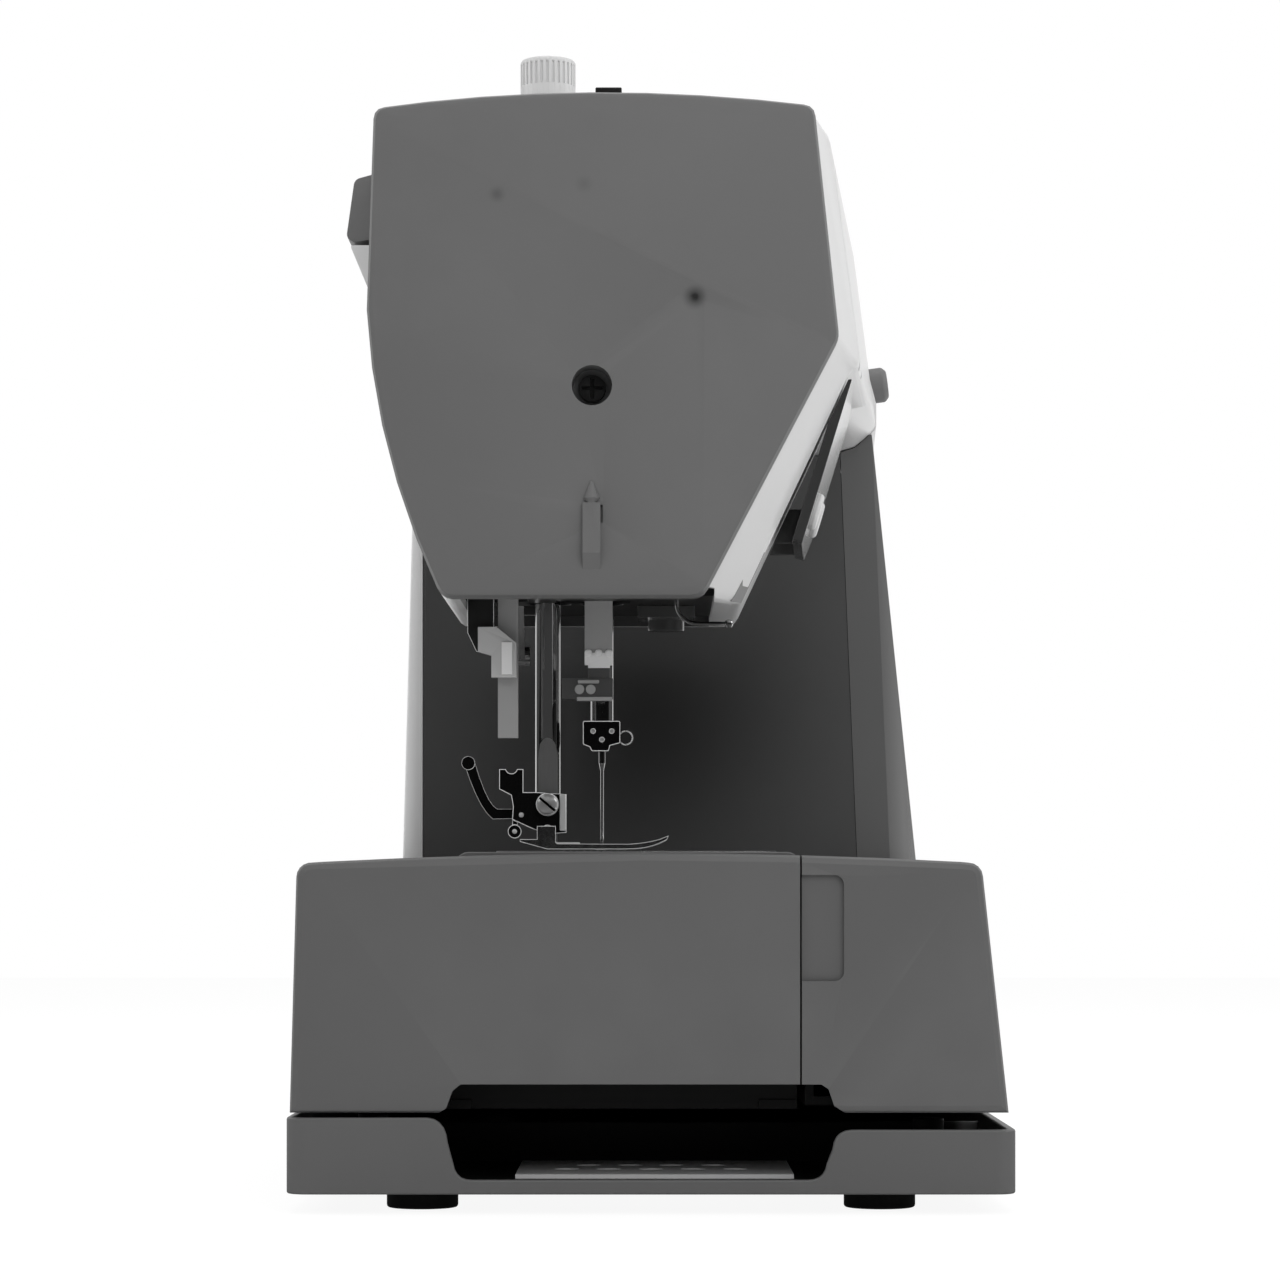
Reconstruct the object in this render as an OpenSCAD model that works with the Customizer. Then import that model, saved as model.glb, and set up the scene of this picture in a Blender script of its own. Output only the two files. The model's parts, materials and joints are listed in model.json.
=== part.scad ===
// Household sewing machine with a free arm and a wrap-round accessory tray.
// +X runs along the arm from the head to the handwheel, -Y faces the operator, +Z is up.
// The origin is on the table, below the middle of the bounding box.

/* [Body] */
// Length of the base, from its left end to its right end
base_len = 388; // [376:1:404]
// Depth of the base, front to back
base_depth = 200; // [199:0.5:206]
// Height of the base pan, without its feet
base_h = 21; // [19:0.5:22]
// Height of the rubber feet below the base pan
foot_h = 5.5; // [4:0.5:6]
// Diameter of a rubber foot
foot_d = 20; // [16:1:24]
// Height of the sewing bed above the table
bed_z = 100; // [99:0.5:104]
// Height of the crown of the arm above the table
crown_z = 313; // [310:1:320]
// Free length between the needle and the pillar
throat_len = 165; // [155:1:172]
// Free height between the bed and the arm
throat_h = 137; // [130:1:140]
// Wall thickness of the plastic covers
wall = 2.5; // [2:0.1:3]

/* [Head] */
// Distance from the left end of the base to the face cover
face_set = 30; // [28:1:34]
// Distance from the face cover to the needle
face_to_needle = 60; // [58:1:62]
// Length of the head along the arm
head_len = 119; // [116:1:124]
// Height of the open underside of the head above the bed
head_clear = 71; // [68:1:73]
// Length of the bevel that widens the head behind the face cover
bevel_len = 20; // [14:1:24]
// Depth of the face cover along the arm
face_depth = 8; // [7:0.5:10]
// Diameter of the recessed screw hole in the face cover
face_hole_d = 11.3; // [10:0.1:12]

/* [Free arm and tray] */
// Width of the free arm
arm_w = 97; // [94:0.5:99]
// Thickness of the left end section of the tray
tray_end = 25; // [22:1:27]
// Clearance between the tray and its neighbours
tray_gap = 0.8; // [0.5:0.1:1]
// Width of the finger recess in the tray lid
recess_w = 11.5; // [10:0.5:14]
// Height of the finger recess in the tray lid
recess_h = 29; // [24:1:32]

/* [Stitching parts] */
// Diameter of the needle bar
needle_bar_d = 6.8; // [6:0.1:7.2]
// Diameter of the presser bar
presser_bar_d = 7.6; // [7:0.1:8]
// Distance of the presser bar behind the needle bar
bar_spacing = 16; // [15.5:0.1:16.5]
// Length of the needle below its clamp
needle_len = 28.3; // [27:0.1:28.6]
// Throw of the needle bar crank
crank_r = 15.5; // [14:0.1:16]
// Lift of the presser foot
foot_lift = 6; // [5:0.5:7]
// Diameter of the rotary hook
hook_d = 38; // [36:0.5:39]
// Radial clearance of a shaft or bar in its bush
run_gap = 0.06; // [0.03:0.01:0.08]

/* [Controls] */
// Diameter of the presser pressure dial
dial_d = 16.3; // [14:0.1:18]
// Height of the pressure dial above the crown
dial_h = 21.6; // [18:0.1:26]
// Diameter of the handwheel
wheel_d = 72; // [64:1:76]
// Reach of the handwheel beyond the right end of the base
wheel_out = 20; // [18:0.5:24]
// Travel of a push button
button_travel = 1.2; // [0.8:0.1:1.5]
// Diameter of a stitch dial
stitch_dial_d = 12; // [11:0.5:13]
// Length of the carry handle
handle_len = 150; // [130:1:160]

/* [Hidden] */
$fn = 48;
slice_t = 0.01;
fit_gap = 0.3;

// Places along the arm
x_left = -(base_len + wheel_out) / 2;
x_right = x_left + base_len;
x_face = x_left + face_set;
x_shell = x_face + face_depth;
x_bevel = x_shell + bevel_len;
x_needle = x_face + face_to_needle;
x_head = x_face + head_len;
x_pillar = x_needle + throat_len;

// Heights
z_pan = foot_h;
z_base = z_pan + base_h;
z_tray = z_base + 1.3;
z_head = bed_z + head_clear;
z_arm = bed_z + throat_h;
z_seam = z_arm + 8;
z_belly = crown_z - 61;
z_nose = z_head + 73;
z_edge = crown_z - 6;
z_shaft = crown_z - 45;
z_lower = 60;

// Depths, front to back
y_half = base_depth / 2;
y_needle = 14.5;
y_presser = y_needle + bar_spacing;
y_arm = -42;
y_seam = y_arm + 1.3;
y_rear = 80;
y_strip = y_rear - 2.7;
y_split = 42;
y_web = 46;
web_t = 6;

// Front face of the arm: it leans back towards the crown and sweeps forward to the right
lean = 0.132;
sweep = 0.087;
sweep_pillar = 0.045;
y_front = -51.2;
function front_y(x, z) = y_front - lean * (z_edge - z)
    - sweep * (min(x, x_pillar) - x_bevel) - sweep_pillar * max(x - x_pillar, 0);

// Shape helpers
function bez(a, b, c, n) = [for (i = [0:n]) let (t = i / n) (1 - t) * (1 - t) * a + 2 * t * (1 - t) * b + t * t * c];
function arc_pts(c, r, a0, a1, n = 6) = [for (i = [0:n]) let (a = a0 + (a1 - a0) * i / n) c + r * [cos(a), sin(a)]];

module along_x(x0, x1) translate([x0, 0, 0]) rotate([90, 0, 90]) linear_extrude(x1 - x0) children();
module slice_x(x) along_x(x, x + slice_t) children();
module slice_z(z) translate([0, 0, z]) linear_extrude(slice_t) children();
module soft(r, inset = 0) offset(r = r, $fn = 24) offset(delta = -r - inset) children();
module block(x0, x1, y0, y1, z0, z1) translate([x0, y0, z0]) cube([x1 - x0, y1 - y0, z1 - z0]);
module rod_x(x0, x1, y, z, d) translate([x0, y, z]) rotate([0, 90, 0]) cylinder(h = x1 - x0, d = d);
module rod_z(x, y, z0, z1, d) translate([x, y, z0]) cylinder(h = z1 - z0, d = d);

// A rectangle in plan with round corners
module plan_rect(x0, x1, y0, y1, r) {
    translate([x0 + r, y0]) square([x1 - x0 - 2 * r, y1 - y0]);
    translate([x0, y0 + r]) square([x1 - x0, y1 - y0 - 2 * r]);
    for (x = [x0 + r, x1 - r], y = [y0 + r, y1 - r]) translate([x, y]) circle(r);
}

// ---- Outer form of the upper body ----

function crown(top) = bez([y_rear - 2, z_edge + 1.7], [18, crown_z + 4.4], top, 8);
function belly() = bez([59, z_head], [78, (z_head + z_belly) / 2], [y_rear, z_belly], 5);

// Height of the crown above a point of the plan
function crown_at(x, y) = lookup(y, crown([front_y(x, z_edge), z_edge]));

// Slanted nose of the head: its lower edge, and its upper edge behind a narrow ledge
nose_low = [-25.8, z_head];
nose_top = [-57.1, z_nose - 6.3];
z_corner = z_nose - 4;

// Outline of the face cover
function face_pts() = concat(crown([-46, z_edge + 2.5]), [[-53, z_nose], [-51.8, z_nose - 2.2], [-14.6, z_head]], belly());
// Outline of the head behind the bevel
function head_pts(x) = concat(crown([front_y(x, z_edge), z_edge]),
    [[front_y(x, z_corner), z_corner], nose_top, nose_low], belly());
// Outline of the arm or the pillar, down to the height z0, with its lower front edge cut back by r
function arm_pts(x, z0, r) = let (f = front_y(x, z0)) concat(crown([front_y(x, z_edge), z_edge]),
    [[front_y(x, z0 + 20 - 0.6 * r), z0 + 20 - 0.6 * r], [f + r / 2, z0 + 10 - 0.4 * r], [f + r, z0]],
    [for (i = [0 : 5]) [y_rear + 0.5 - 0.1 * i, z0 + (z_belly - z0) * i / 5]]);
arm_r = 17;

// Roundness of the corners, in the order of the outlines
corner_round = [3, 0, 0, 0, 0, 0, 0, 0, 3, 2, 0, 3, 3, 0, 0, 0, 0, 0];
function turned(v) = [-v[1], v[0]] / norm(v);
function inset_pts(p, d) = [for (i = [0 : len(p) - 1])
    let (n = len(p), a = turned(p[i] - p[(i + n - 1) % n]), b = turned(p[(i + 1) % n] - p[i]))
    p[i] + d * (a + b) / (1 + a * b)];
function rounded(p) = [for (i = [0 : len(p) - 1])
    let (n = len(p), q = p[i], a = p[(i + n - 1) % n] - q, b = p[(i + 1) % n] - q, r = corner_round[i])
    each (r > 0 ? bez(q + r * a / norm(a), q, q + r * b / norm(b), 3) : [q])];

// Solid through a row of outlines, each at its own place along X
module loft(xs, rings) {
    n = len(rings[0]);
    m = len(rings);
    polyhedron([for (i = [0 : m - 1], p = rings[i]) [xs[i], p[0], p[1]]], concat(
        [[for (k = [0 : n - 1]) k]],
        [for (i = [0 : m - 2], k = [0 : n - 1]) [i * n + k, (i + 1) * n + (k + 1) % n, i * n + (k + 1) % n]],
        [for (i = [0 : m - 2], k = [0 : n - 1]) [i * n + k, (i + 1) * n + k, (i + 1) * n + (k + 1) % n]],
        [[for (k = [n - 1 : -1 : 0]) (m - 1) * n + k]]));
}

// Rooms that open the upper form downwards: over the pillar, and below the head
module form_openings() {
    block(x_pillar + 2, x_right - 6, -62, 66, z_arm + 6, z_seam + 15);
    block(x_shell - 1, x_head - wall, -18, 54, z_head - 1, z_head + wall + 1);
}

// The outer form is w = 0; the room inside it is w = wall
module upper_form(w) {
    xs = [w > 0 ? x_shell - 1 : x_shell + fit_gap, x_bevel, x_head - 1 - w, x_head - w, x_pillar,
        x_pillar + 6 - w, x_pillar + 7 - w, x_right - 5 - w / 2, x_right - w];
    rings = [face_pts(), head_pts(x_bevel), head_pts(xs[2]), arm_pts(xs[3], z_arm, arm_r),
        arm_pts(x_pillar, z_arm, arm_r), arm_pts(xs[5], z_arm, arm_r), arm_pts(xs[6], z_seam, 0),
        arm_pts(xs[7], z_seam, 0), inset_pts(arm_pts(xs[7], z_seam, 0), w > 0 ? 1 : 3)];
    loft(xs, [for (p = rings) w > 0 ? inset_pts(p, w) : rounded(p)]);
}

// Plan of the pillar at a height: its front corner is cut back in two slanted faces, its rear corner is small
pillar_foot = [8.4 - y_half, 21.8, 10];    // front face, depth of the cut corner, depth of its outer face
pillar_top = [front_y(x_pillar, z_seam), 12.8, 1.2];
function fold_y(z) = let (t = (z - bed_z + 1.5) / (z_seam - bed_z + 1.5))
    (1 - t) * (pillar_foot[0] + pillar_foot[1]) + t * (pillar_top[0] + pillar_top[1]);
module pillar_plan(z, front, y1, inset) {
    a = x_pillar + inset;
    b = x_right - inset;
    f = front[0] + inset;
    r = y1 - inset;
    slice_z(z) polygon(concat(
        [[a + 24, f], [a + 8, f + front[2]], [a, f + front[1]]], arc_pts([a + 6, r - 6], 6, 180, 90),
        arc_pts([b - 12, r - 12], 12, 90, 0), arc_pts([b - 12, f + 12], 12, 0, -90)));
}
module pillar_form(inset) {
    hull() {
        pillar_plan(bed_z - 1.5, pillar_foot, y_rear + 4.6, inset);
        pillar_plan(z_seam - slice_t, pillar_top, y_rear + 0.5, inset);
    }
}

module upper_shell() {
    difference() {
        upper_form(0);
        upper_form(wall);
        form_openings();
    }
}

// ---- Base ----

y_notch_rear = 56;
y_notch_front = -50;
z_notch = z_pan + 4;
z_front_step = z_base - 3.3;
function pan_notch() = concat(
    [[y_notch_rear + 9, z_base + 9]],
    [[y_notch_rear + 7, z_base]],
    bez([y_notch_rear + 5, z_base], [y_notch_rear, z_base - 0.5], [y_notch_rear - 0.5, z_base - 7], 5),
    bez([y_notch_rear - 2, z_notch + 4.5], [y_notch_rear - 2.6, z_notch], [y_notch_rear - 7, z_notch], 5),
    bez([y_notch_front + 7, z_notch], [y_notch_front + 2.6, z_notch], [y_notch_front + 2, z_notch + 4.5], 5),
    bez([y_notch_front + 0.5, z_front_step - 5.5], [y_notch_front, z_front_step], [y_notch_front - 5, z_front_step], 5),
    [[y_notch_front - 5, z_base + 9]]);

module pan_boss(x, y) rod_z(x, y, z_pan + wall - 0.5, z_base - 2, 9);

module base_pan() color("#5e5e5e") difference() {
    union() {
        difference() {
            translate([0, 0, z_pan]) linear_extrude(base_h) plan_rect(x_left, x_right, -y_half, y_half, 6);
            translate([0, 0, z_pan + wall]) linear_extrude(base_h)
                plan_rect(x_left + wall, x_right - wall, wall - y_half, y_half - wall, 4);
        }
        for (x = [x_left + 60, x_right - 30], y = [20 - y_half, y_half - 20]) pan_boss(x, y);
        // cross rib below the free arm
        block(x_left + 95, x_left + 98, wall / 2 - y_half, y_half - wall / 2, z_pan + 1, z_base - 6.5);
    }
    along_x(x_left - 1, x_left + wall + 1) polygon(pan_notch());
    // the front wall is lower in front of the tray
    block(x_left - 1, x_pillar - 1, -y_half - 1, y_notch_front - 4, z_front_step, z_base + 1);
    // window for the steel bottom plate
    block(x_left + 30, x_left + 80, -36, 34, z_pan - 1, z_pan + wall + 1);
}

module foot_at(x, y) {
    rod_z(x, y, 0, z_pan, foot_d);
}
module rubber_feet() color("#141414")
    for (x = [x_left + 28, x_right - 28], y = [36 - y_half, y_half - 36]) foot_at(x, y);

module bottom_plate() color("#d8d8d8") difference() {
    block(x_left + 26, x_left + 84, -40, 38, z_pan + wall, z_pan + wall + 1.2);
    for (y = [-24 : 12 : 24]) translate([x_left + 48, y, z_pan]) cylinder(h = 5, d = 7);
    for (y = [-18 : 12 : 18]) translate([x_left + 64, y, z_pan]) cylinder(h = 5, d = 7);
}

// ---- Bed and free arm ----

y_arm_rear = y_arm + arm_w;
y_power = y_half - 31;
z_arm_low = z_tray + 8.2;
z_arm_top = bed_z - 0.6;

module housing_plan(z, y0, y1, inset) slice_z(z) soft(6, inset)
    polygon([[x_pillar + 0.2, y0], [x_right, y0], [x_right, y1], [x_pillar + 0.2, y1]]);
module housing_form(inset, z0, z1) hull() {
    housing_plan(z0, 2 - y_half, y_half - 2, inset);
    housing_plan(z1 - slice_t, 8 - y_half, y_half - 4, inset);
}
module bed_housing() color("#666666") difference() {
    housing_form(0, z_base + 0.1, bed_z - 1.6);
    housing_form(wall, z_base - 1, bed_z - 1.6 - wall);
    // the pillar opens into the housing
    block(x_pillar + 12, x_right - 10, -72, 70, bed_z - 8, bed_z);
    // the free arm opens into the housing
    block(x_pillar - 1, x_pillar + 6, y_arm + wall, y_arm_rear - wall, z_arm_low + wall, z_arm_top - wall);
    // seats of the switch and the inlet
    block(x_right - 6, x_right + 1, y_power - 10.7, y_power + 10.7, 54.7, 65.3);
    block(x_right - 6, x_right + 1, y_power - 15, y_power + 15, 34, 50);
}

function arm_section(i) = concat(
    arc_pts([y_arm + 12, z_arm_low + 12], 12 - i, 180, 270),
    arc_pts([y_arm_rear - 12, z_arm_low + 12], 12 - i, 270, 360),
    arc_pts([y_arm_rear - 4, z_arm_top - 4], 4 - i, 0, 90),
    arc_pts([y_arm + 4, z_arm_top - 4], 4 - i, 90, 180));

// The needle plate and the bobbin cover lie in one window of the free arm
plate_x0 = x_needle - 38;
plate_x1 = x_needle + 40;
plate_y1 = y_needle + 30;
plate_t = 2;
cover_y0 = y_arm + 6;
cover_y1 = y_needle - 12;

module free_arm_shell() color("#5c5c5c") difference() {
    along_x(x_left + tray_end + 1.5, x_pillar) polygon(arm_section(0));
    along_x(x_left + tray_end + 1.5 + wall, x_pillar + 1) polygon(arm_section(wall));
    block(plate_x0 + 3, plate_x1 - 3, cover_y0 + 3, plate_y1 - 3, bed_z - 6, bed_z + 1);
    block(plate_x0, plate_x1, cover_y0, plate_y1, bed_z - plate_t, bed_z + 1);
}

dog_x = [x_needle - 8, x_needle + 8];
dog_gap = 1.2;
module needle_plate() color("#c8c8c8") difference() {
    block(plate_x0 + 0.2, plate_x1 - 0.2, cover_y1 + 0.2, plate_y1 - 0.2, bed_z - plate_t, bed_z);
    // needle slot
    translate([x_needle, y_needle, bed_z - 5]) cylinder(h = 9, d = 4);
    block(x_needle - 4, x_needle + 4, y_needle - 1.3, y_needle + 1.3, bed_z - 5, bed_z + 1);
    // feed dog slots
    for (x = dog_x) block(x - 2.7, x + 2.7, y_needle - 11, y_needle + 17, bed_z - 5, bed_z + 1);
    block(x_needle - 3, x_needle + 3, y_needle + 4, y_needle + 17, bed_z - 5, bed_z + 1);
    for (x = [x_needle - 25, x_needle + 25]) translate([x, y_needle + 21, bed_z - 5]) cylinder(h = 9, d = 4);
}
module bobbin_cover() color("#b8c0c4")
    difference() {
        block(plate_x0 + 0.2, plate_x1 - 0.2, cover_y0 + 0.2, cover_y1, bed_z - plate_t, bed_z);
        translate([x_needle, cover_y0 + 7, bed_z - 0.8]) cylinder(h = 2, d = 9);
    }

// ---- Covers ----

handle_x0 = x_needle + 8;
handle_x1 = handle_x0 + handle_len;
pocket_z = z_edge - 26;
pivot_y = 69;
pivot_z = z_edge - 10;
module pocket(grow) block(handle_x0 - 2 - grow, handle_x1 + 2 + grow, 60 - grow, 95, pocket_z - grow, crown_z + 5);
module handle_shelf() hull() {
    for (x = [handle_x0 - 2, handle_x1 + 2])
        slice_x(x) polygon([[y_rear - 2, pocket_z - 28], [y_rear + 9.3, pocket_z - 0.8], [y_rear + 9.3, pocket_z],
            [y_rear - 2, pocket_z]]);
}

module front_cover() color("#e6e6e6") difference() {
    intersection() {
        upper_shell();
        block(x_face, x_right + 1, -120, y_split, z_head - 1, crown_z + 10);
    }
    // hole of the pressure dial
    rod_z(x_needle, y_presser, crown_z - 20, crown_z + 10, 9);
    // take-up lever slot
    block(take_x - 4, take_x + 2.5, -80, -40, z_shaft - 28, z_edge - 5);
    // second threading slot
    block(take_x + 16, take_x + 20, -80, -40, z_shaft - 28, z_edge - 5);
    // tension dial slot
    block(tension_x - 4.5, tension_x + 4.5, tension_y - 19, tension_y + 19, crown_z - 12, crown_z + 10);
    rod_x(x_right - 10, x_right + 1, y_needle, z_shaft, 34);
    // stitch dial holes
    for (x = stitch_x) on_front(x, z_dials) translate([0, 0, -20]) cylinder(h = 30, d = stitch_dial_d + 1);
    // window of the display
    on_front(display_x, z_dials) block(-display_w / 2, display_w / 2, -11, 11, -9, 9);
}

module rear_cover() color("#e2e2e2") {
    difference() {
        union() {
            intersection() {
                difference() {
                    upper_form(0);
                    difference() {
                        upper_form(wall);
                        pocket(wall);
                    }
                    form_openings();
                }
                block(x_face, x_right + 1, y_split + 0.2, 120, z_head - 1, crown_z + 10);
            }
            handle_shelf();
        }
        pocket(0);
    }
    // lower rear and right side of the pillar
    intersection() {
        difference() {
            pillar_form(0);
            pillar_form(wall);
        }
        union() {
            block(x_pillar - 1, x_right + 1, y_strip + 0.2, 120, bed_z - 2, z_seam - 0.1);
            block(x_right - 14, x_right + 1, -39.7, 120, bed_z - 2, z_seam - 0.1);
        }
    }
}

module front_panel() color("#2c2c2e") intersection() {
    difference() {
        pillar_form(0);
        pillar_form(wall);
        // the lower edge of the arm ends in this corner
        along_x(x_pillar - 1, x_pillar + 7.3) polygon(inset_pts(arm_pts(x_pillar, z_arm, arm_r), -0.5));
    }
    union() {
        along_x(x_pillar - 1, x_right + 1) polygon([[-y_half - 5, bed_z - 1.5], [fold_y(bed_z - 1.5) - 0.2, bed_z - 1.5],
            [fold_y(z_seam - 0.3) - 0.2, z_seam - 0.3], [-y_half - 5, z_seam - 0.3]]);
        block(x_pillar + 12.3, x_right + 1, -120, -40, bed_z - 1.5, z_seam - 0.3);
    }
}

module throat_panel() color("#222224") intersection() {
    difference() {
        pillar_form(0);
        pillar_form(wall);
    }
    along_x(x_pillar - 1, x_pillar + 12) polygon([[fold_y(bed_z - 1.5), bed_z - 1.5], [y_strip, bed_z - 1.5],
        [y_strip, z_arm - 0.2], [fold_y(z_arm - 0.2), z_arm - 0.2]]);
}

screw_y = 16.6;
screw_z = z_head + 59.5;
module face_cover() color("#6a6a6a") difference() {
    union() {
        difference() {
            loft([x_face, x_face + 0.7, x_face + 2.6, x_shell],
                [for (d = [2.2, 0.7, 0, 0]) rounded(inset_pts(face_pts(), d))]);
            loft([x_face + wall, x_face + wall + 2, x_shell + 1],
                [for (d = [2 * wall, wall, wall]) inset_pts(face_pts(), d)]);
        }
        rod_x(x_face + 1.5, x_shell + 4, screw_y, screw_z, face_hole_d + 4);
    }
    rod_x(x_face - 1, x_shell + 1.5, screw_y, screw_z, face_hole_d);
    rod_x(x_face - 1, x_shell + 8, screw_y, screw_z, 4.4);
    // shallow dimple with a gate mark in its middle
    translate([x_face - 10, -12.3, z_head + 84.5]) sphere(r = 10.5, $fn = 96);
    rod_x(x_face - 1, x_face + 1, -12.3, z_head + 84.5, 1.3);
    // thread slot beside the tongue of the cutter
    block(x_face - 1, x_face + 1.4, cut_y - 3.1, cut_y - cut_w / 2, cut_z + 13, cut_z + 18);
}

cut_y = 16.7;
cut_z = z_head + 7.9;
cut_w = 5;
module thread_cutter() color("#646464") {
    // tongue that covers the blade
    translate([0, cut_y + cut_w / 2, 0]) rotate([90, 0, 0]) linear_extrude(cut_w) polygon([[x_face, cut_z],
        [x_face - 2.6, cut_z + 4.3], [x_face - 1.3, cut_z + 18.6], [x_face, cut_z + 18.6]]);
    // cone above the thread slot, half sunk in the cover
    intersection() {
        union() {
            translate([x_face, cut_y, cut_z + 18.5]) cylinder(h = 1.4, r1 = 1.3, r2 = 2.3);
            translate([x_face, cut_y, cut_z + 19.8]) cylinder(h = 4.9, r1 = 2.3, r2 = 0.4);
        }
        block(x_face - 4, x_face, cut_y - 3, cut_y + 3, cut_z + 18, cut_z + 26);
    }
}

module face_screw() color("#3a3a3a") difference() {
    union() {
        rod_x(x_shell - 1.2, x_shell + 1.5, screw_y, screw_z, 7.6);
        rod_x(x_shell + 1.4, x_shell + 14, screw_y, screw_z, 4);
    }
    block(x_shell - 2, x_shell + 0.2, screw_y - 3, screw_y + 3, screw_z - 0.5, screw_z + 0.5);
    block(x_shell - 2, x_shell + 0.2, screw_y - 0.5, screw_y + 0.5, screw_z - 3, screw_z + 3);
}

// ---- Panel with the push buttons ----

panel_x0 = x_bevel + 4;
panel_x1 = x_head - 6;
panel_top = [-57.9, z_nose - 7.5];
panel_low = [-43.4, z_nose - 55];
panel_tilt = atan2(panel_low[0] - panel_top[0], panel_top[1] - panel_low[1]);
panel_t = 3.1;
panel_sweep = 0.05;
panel_h = norm(panel_top - panel_low);
panel_len = panel_x1 - panel_x0;

// The panel leaves the nose of the head and follows part of its sweep
module panel_place() translate([x_bevel, panel_top[0], 0]) rotate([0, 0, -atan(panel_sweep)])
    translate([-x_bevel, -panel_top[0], 0]) children();
// Frame on the outside of the panel: x along the arm, y up the slope, z out
module on_panel(x, down) panel_place() translate([x, panel_top[0], panel_top[1]])
    rotate([90 + panel_tilt, 0, 0]) translate([0, -down, 0]) children();
// Surface of the nose at a height
function nose_y(z) = nose_low[0] + (nose_top[0] - nose_low[0]) * (z - z_head) / (nose_top[1] - z_head);
panel_seat_z = z_head + 53;
panel_rib_z = z_head + 31;

module button_panel() color("#4a4a4c") difference() {
    union() {
        intersection() {
            panel_place() along_x(panel_x0, panel_x1) polygon([panel_top, panel_low, panel_low + [panel_t, 0],
                [nose_y(panel_seat_z) - fit_gap, panel_seat_z], [nose_y(panel_top[1]) - fit_gap, panel_top[1]]]);
            // its far lower corner is cut off
            on_panel(panel_x0, panel_h) translate([0, 0, -20]) linear_extrude(22) soft(3) polygon([[0, 0],
                [panel_len - 24, 0], [panel_len, 12], [panel_len, panel_h + 20], [0, panel_h + 20]]);
        }
        // ribs that hold the panel off the nose
        for (x = [panel_x0 + 30, panel_x1 - 12]) panel_place() along_x(x, x + 2) polygon([
            [panel_low[0] + 2, panel_low[1] + 3], [panel_low[0] - 2, panel_rib_z],
            [nose_y(panel_rib_z) + panel_sweep * (x - x_bevel) - 0.6, panel_rib_z],
            [nose_y(panel_low[1] + 3) + panel_sweep * (x - x_bevel) - 0.6, panel_low[1] + 3]]);
    }
    for (x = button_x) on_panel(x, button_down) translate([0, 0, -9]) cylinder(h = 18, d = button_d + 0.8);
}

button_d = 11;
button_down = 38;
button_x = [panel_x0 + 18, panel_x0 + 42];
module push_button(x) on_panel(x, button_down) translate([0, 0, -3]) {
    cylinder(h = 4, d = button_d);
    translate([0, 0, 4]) cylinder(h = 0.8, d1 = button_d, d2 = button_d - 1.4);
}
module start_button() color("#7c8c80") push_button(button_x[0]);
module reverse_button() color("#8a8a8c") push_button(button_x[1]);

// ---- Front face controls ----

z_dials = z_shaft - 4;
stitch_x = [x_pillar + 30];
// The display fills the front face between the dial and the right end
display_x0 = stitch_x[0] + 15;
display_w = x_right - 42 - display_x0;
display_x = display_x0 + display_w / 2;
// Frame on the front face: x along the arm, y up, z out of the face
module on_front(x, z) translate([x, front_y(x, z), z]) rotate([90, 0, 0])
    rotate([0, atan(-(x < x_pillar ? sweep : sweep_pillar)), 0]) rotate([-atan(lean), 0, 0]) children();

module display_window() color("#20262a") on_front(display_x, z_dials) {
    w = display_w / 2;
    block(fit_gap - w, w - fit_gap, -10.7, 10.7, -wall - 1, 0.4);
    // flange behind the cover
    block(-w - 1.5, w + 1.5, -12.5, 12.5, -wall - 2.2, -wall - 0.9);
}
module stitch_dial() color("#6e6e70") for (x = stitch_x) on_front(x, z_dials) {
    translate([0, 0, -6]) cylinder(h = 11.2, d = stitch_dial_d);
    translate([0, 0, 5.2]) cylinder(h = 1.5, d1 = stitch_dial_d, d2 = stitch_dial_d - 3);
}

// ---- Head underside ----

module head_plate() color("#1a1a1a") difference() {
    union() {
        block(x_shell + 4, x_head - 12, -12, 52, z_head + wall, z_head + wall + 2);
        block(x_bevel, x_head - 12, -21, 0, z_head + wall, z_head + wall + 2);
    }
    rod_z(x_needle, y_needle, z_head, z_head + 9, needle_bar_d + 6);
    rod_z(x_needle, y_presser, z_head, z_head + 9, presser_bar_d + 6);
    block(x_needle - 13, x_needle - 4.8, 6, 28, z_head, z_head + 9);
    block(x_needle - 30, x_needle - 10, 36, 54, z_head, z_head + 9);
    block(x_needle + 6, x_head, 30, 46.5, z_head, z_head + 9);
}

module led_lamp() color("#c4c8cc") {
    block(x_needle + 4, x_needle + 24, -13, 4, z_head - 1, z_head + wall);
    rod_z(x_needle + 14, -4.5, z_head - 4.5, z_head - 1, 11);
}

guide_x = x_needle - 31;
guide_y = -7.4;
guide_r = 6;
guide_d = 1.2;
module thread_guide() color("#d0d0d0") {
    z = z_head - 5.4;
    rod_z(guide_x, guide_y, z + guide_r, z_head + wall, guide_d);
    translate([guide_x, guide_y - guide_r, z + guide_r]) rotate([90, 0, 90]) rotate(270)
        rotate_extrude(angle = 90) translate([guide_r, 0]) circle(d = guide_d);
    translate([guide_x, guide_y - guide_r, z]) rotate([90, 0, 0]) cylinder(h = 8.6, d = guide_d);
    translate([guide_x, guide_y - guide_r - 9, z]) sphere(d = 2.6);
}

module top_guide() color("#3c3c3c") {
    z = crown_at(x_shell + 20, 16) + 0.25;
    block(x_shell + 14, x_shell + 26, 8.4, 16, z, z + 1.7);
    block(x_shell + 18, x_shell + 22, 8.4, 16, z + 1.6, z + 6.8);
}

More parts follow.
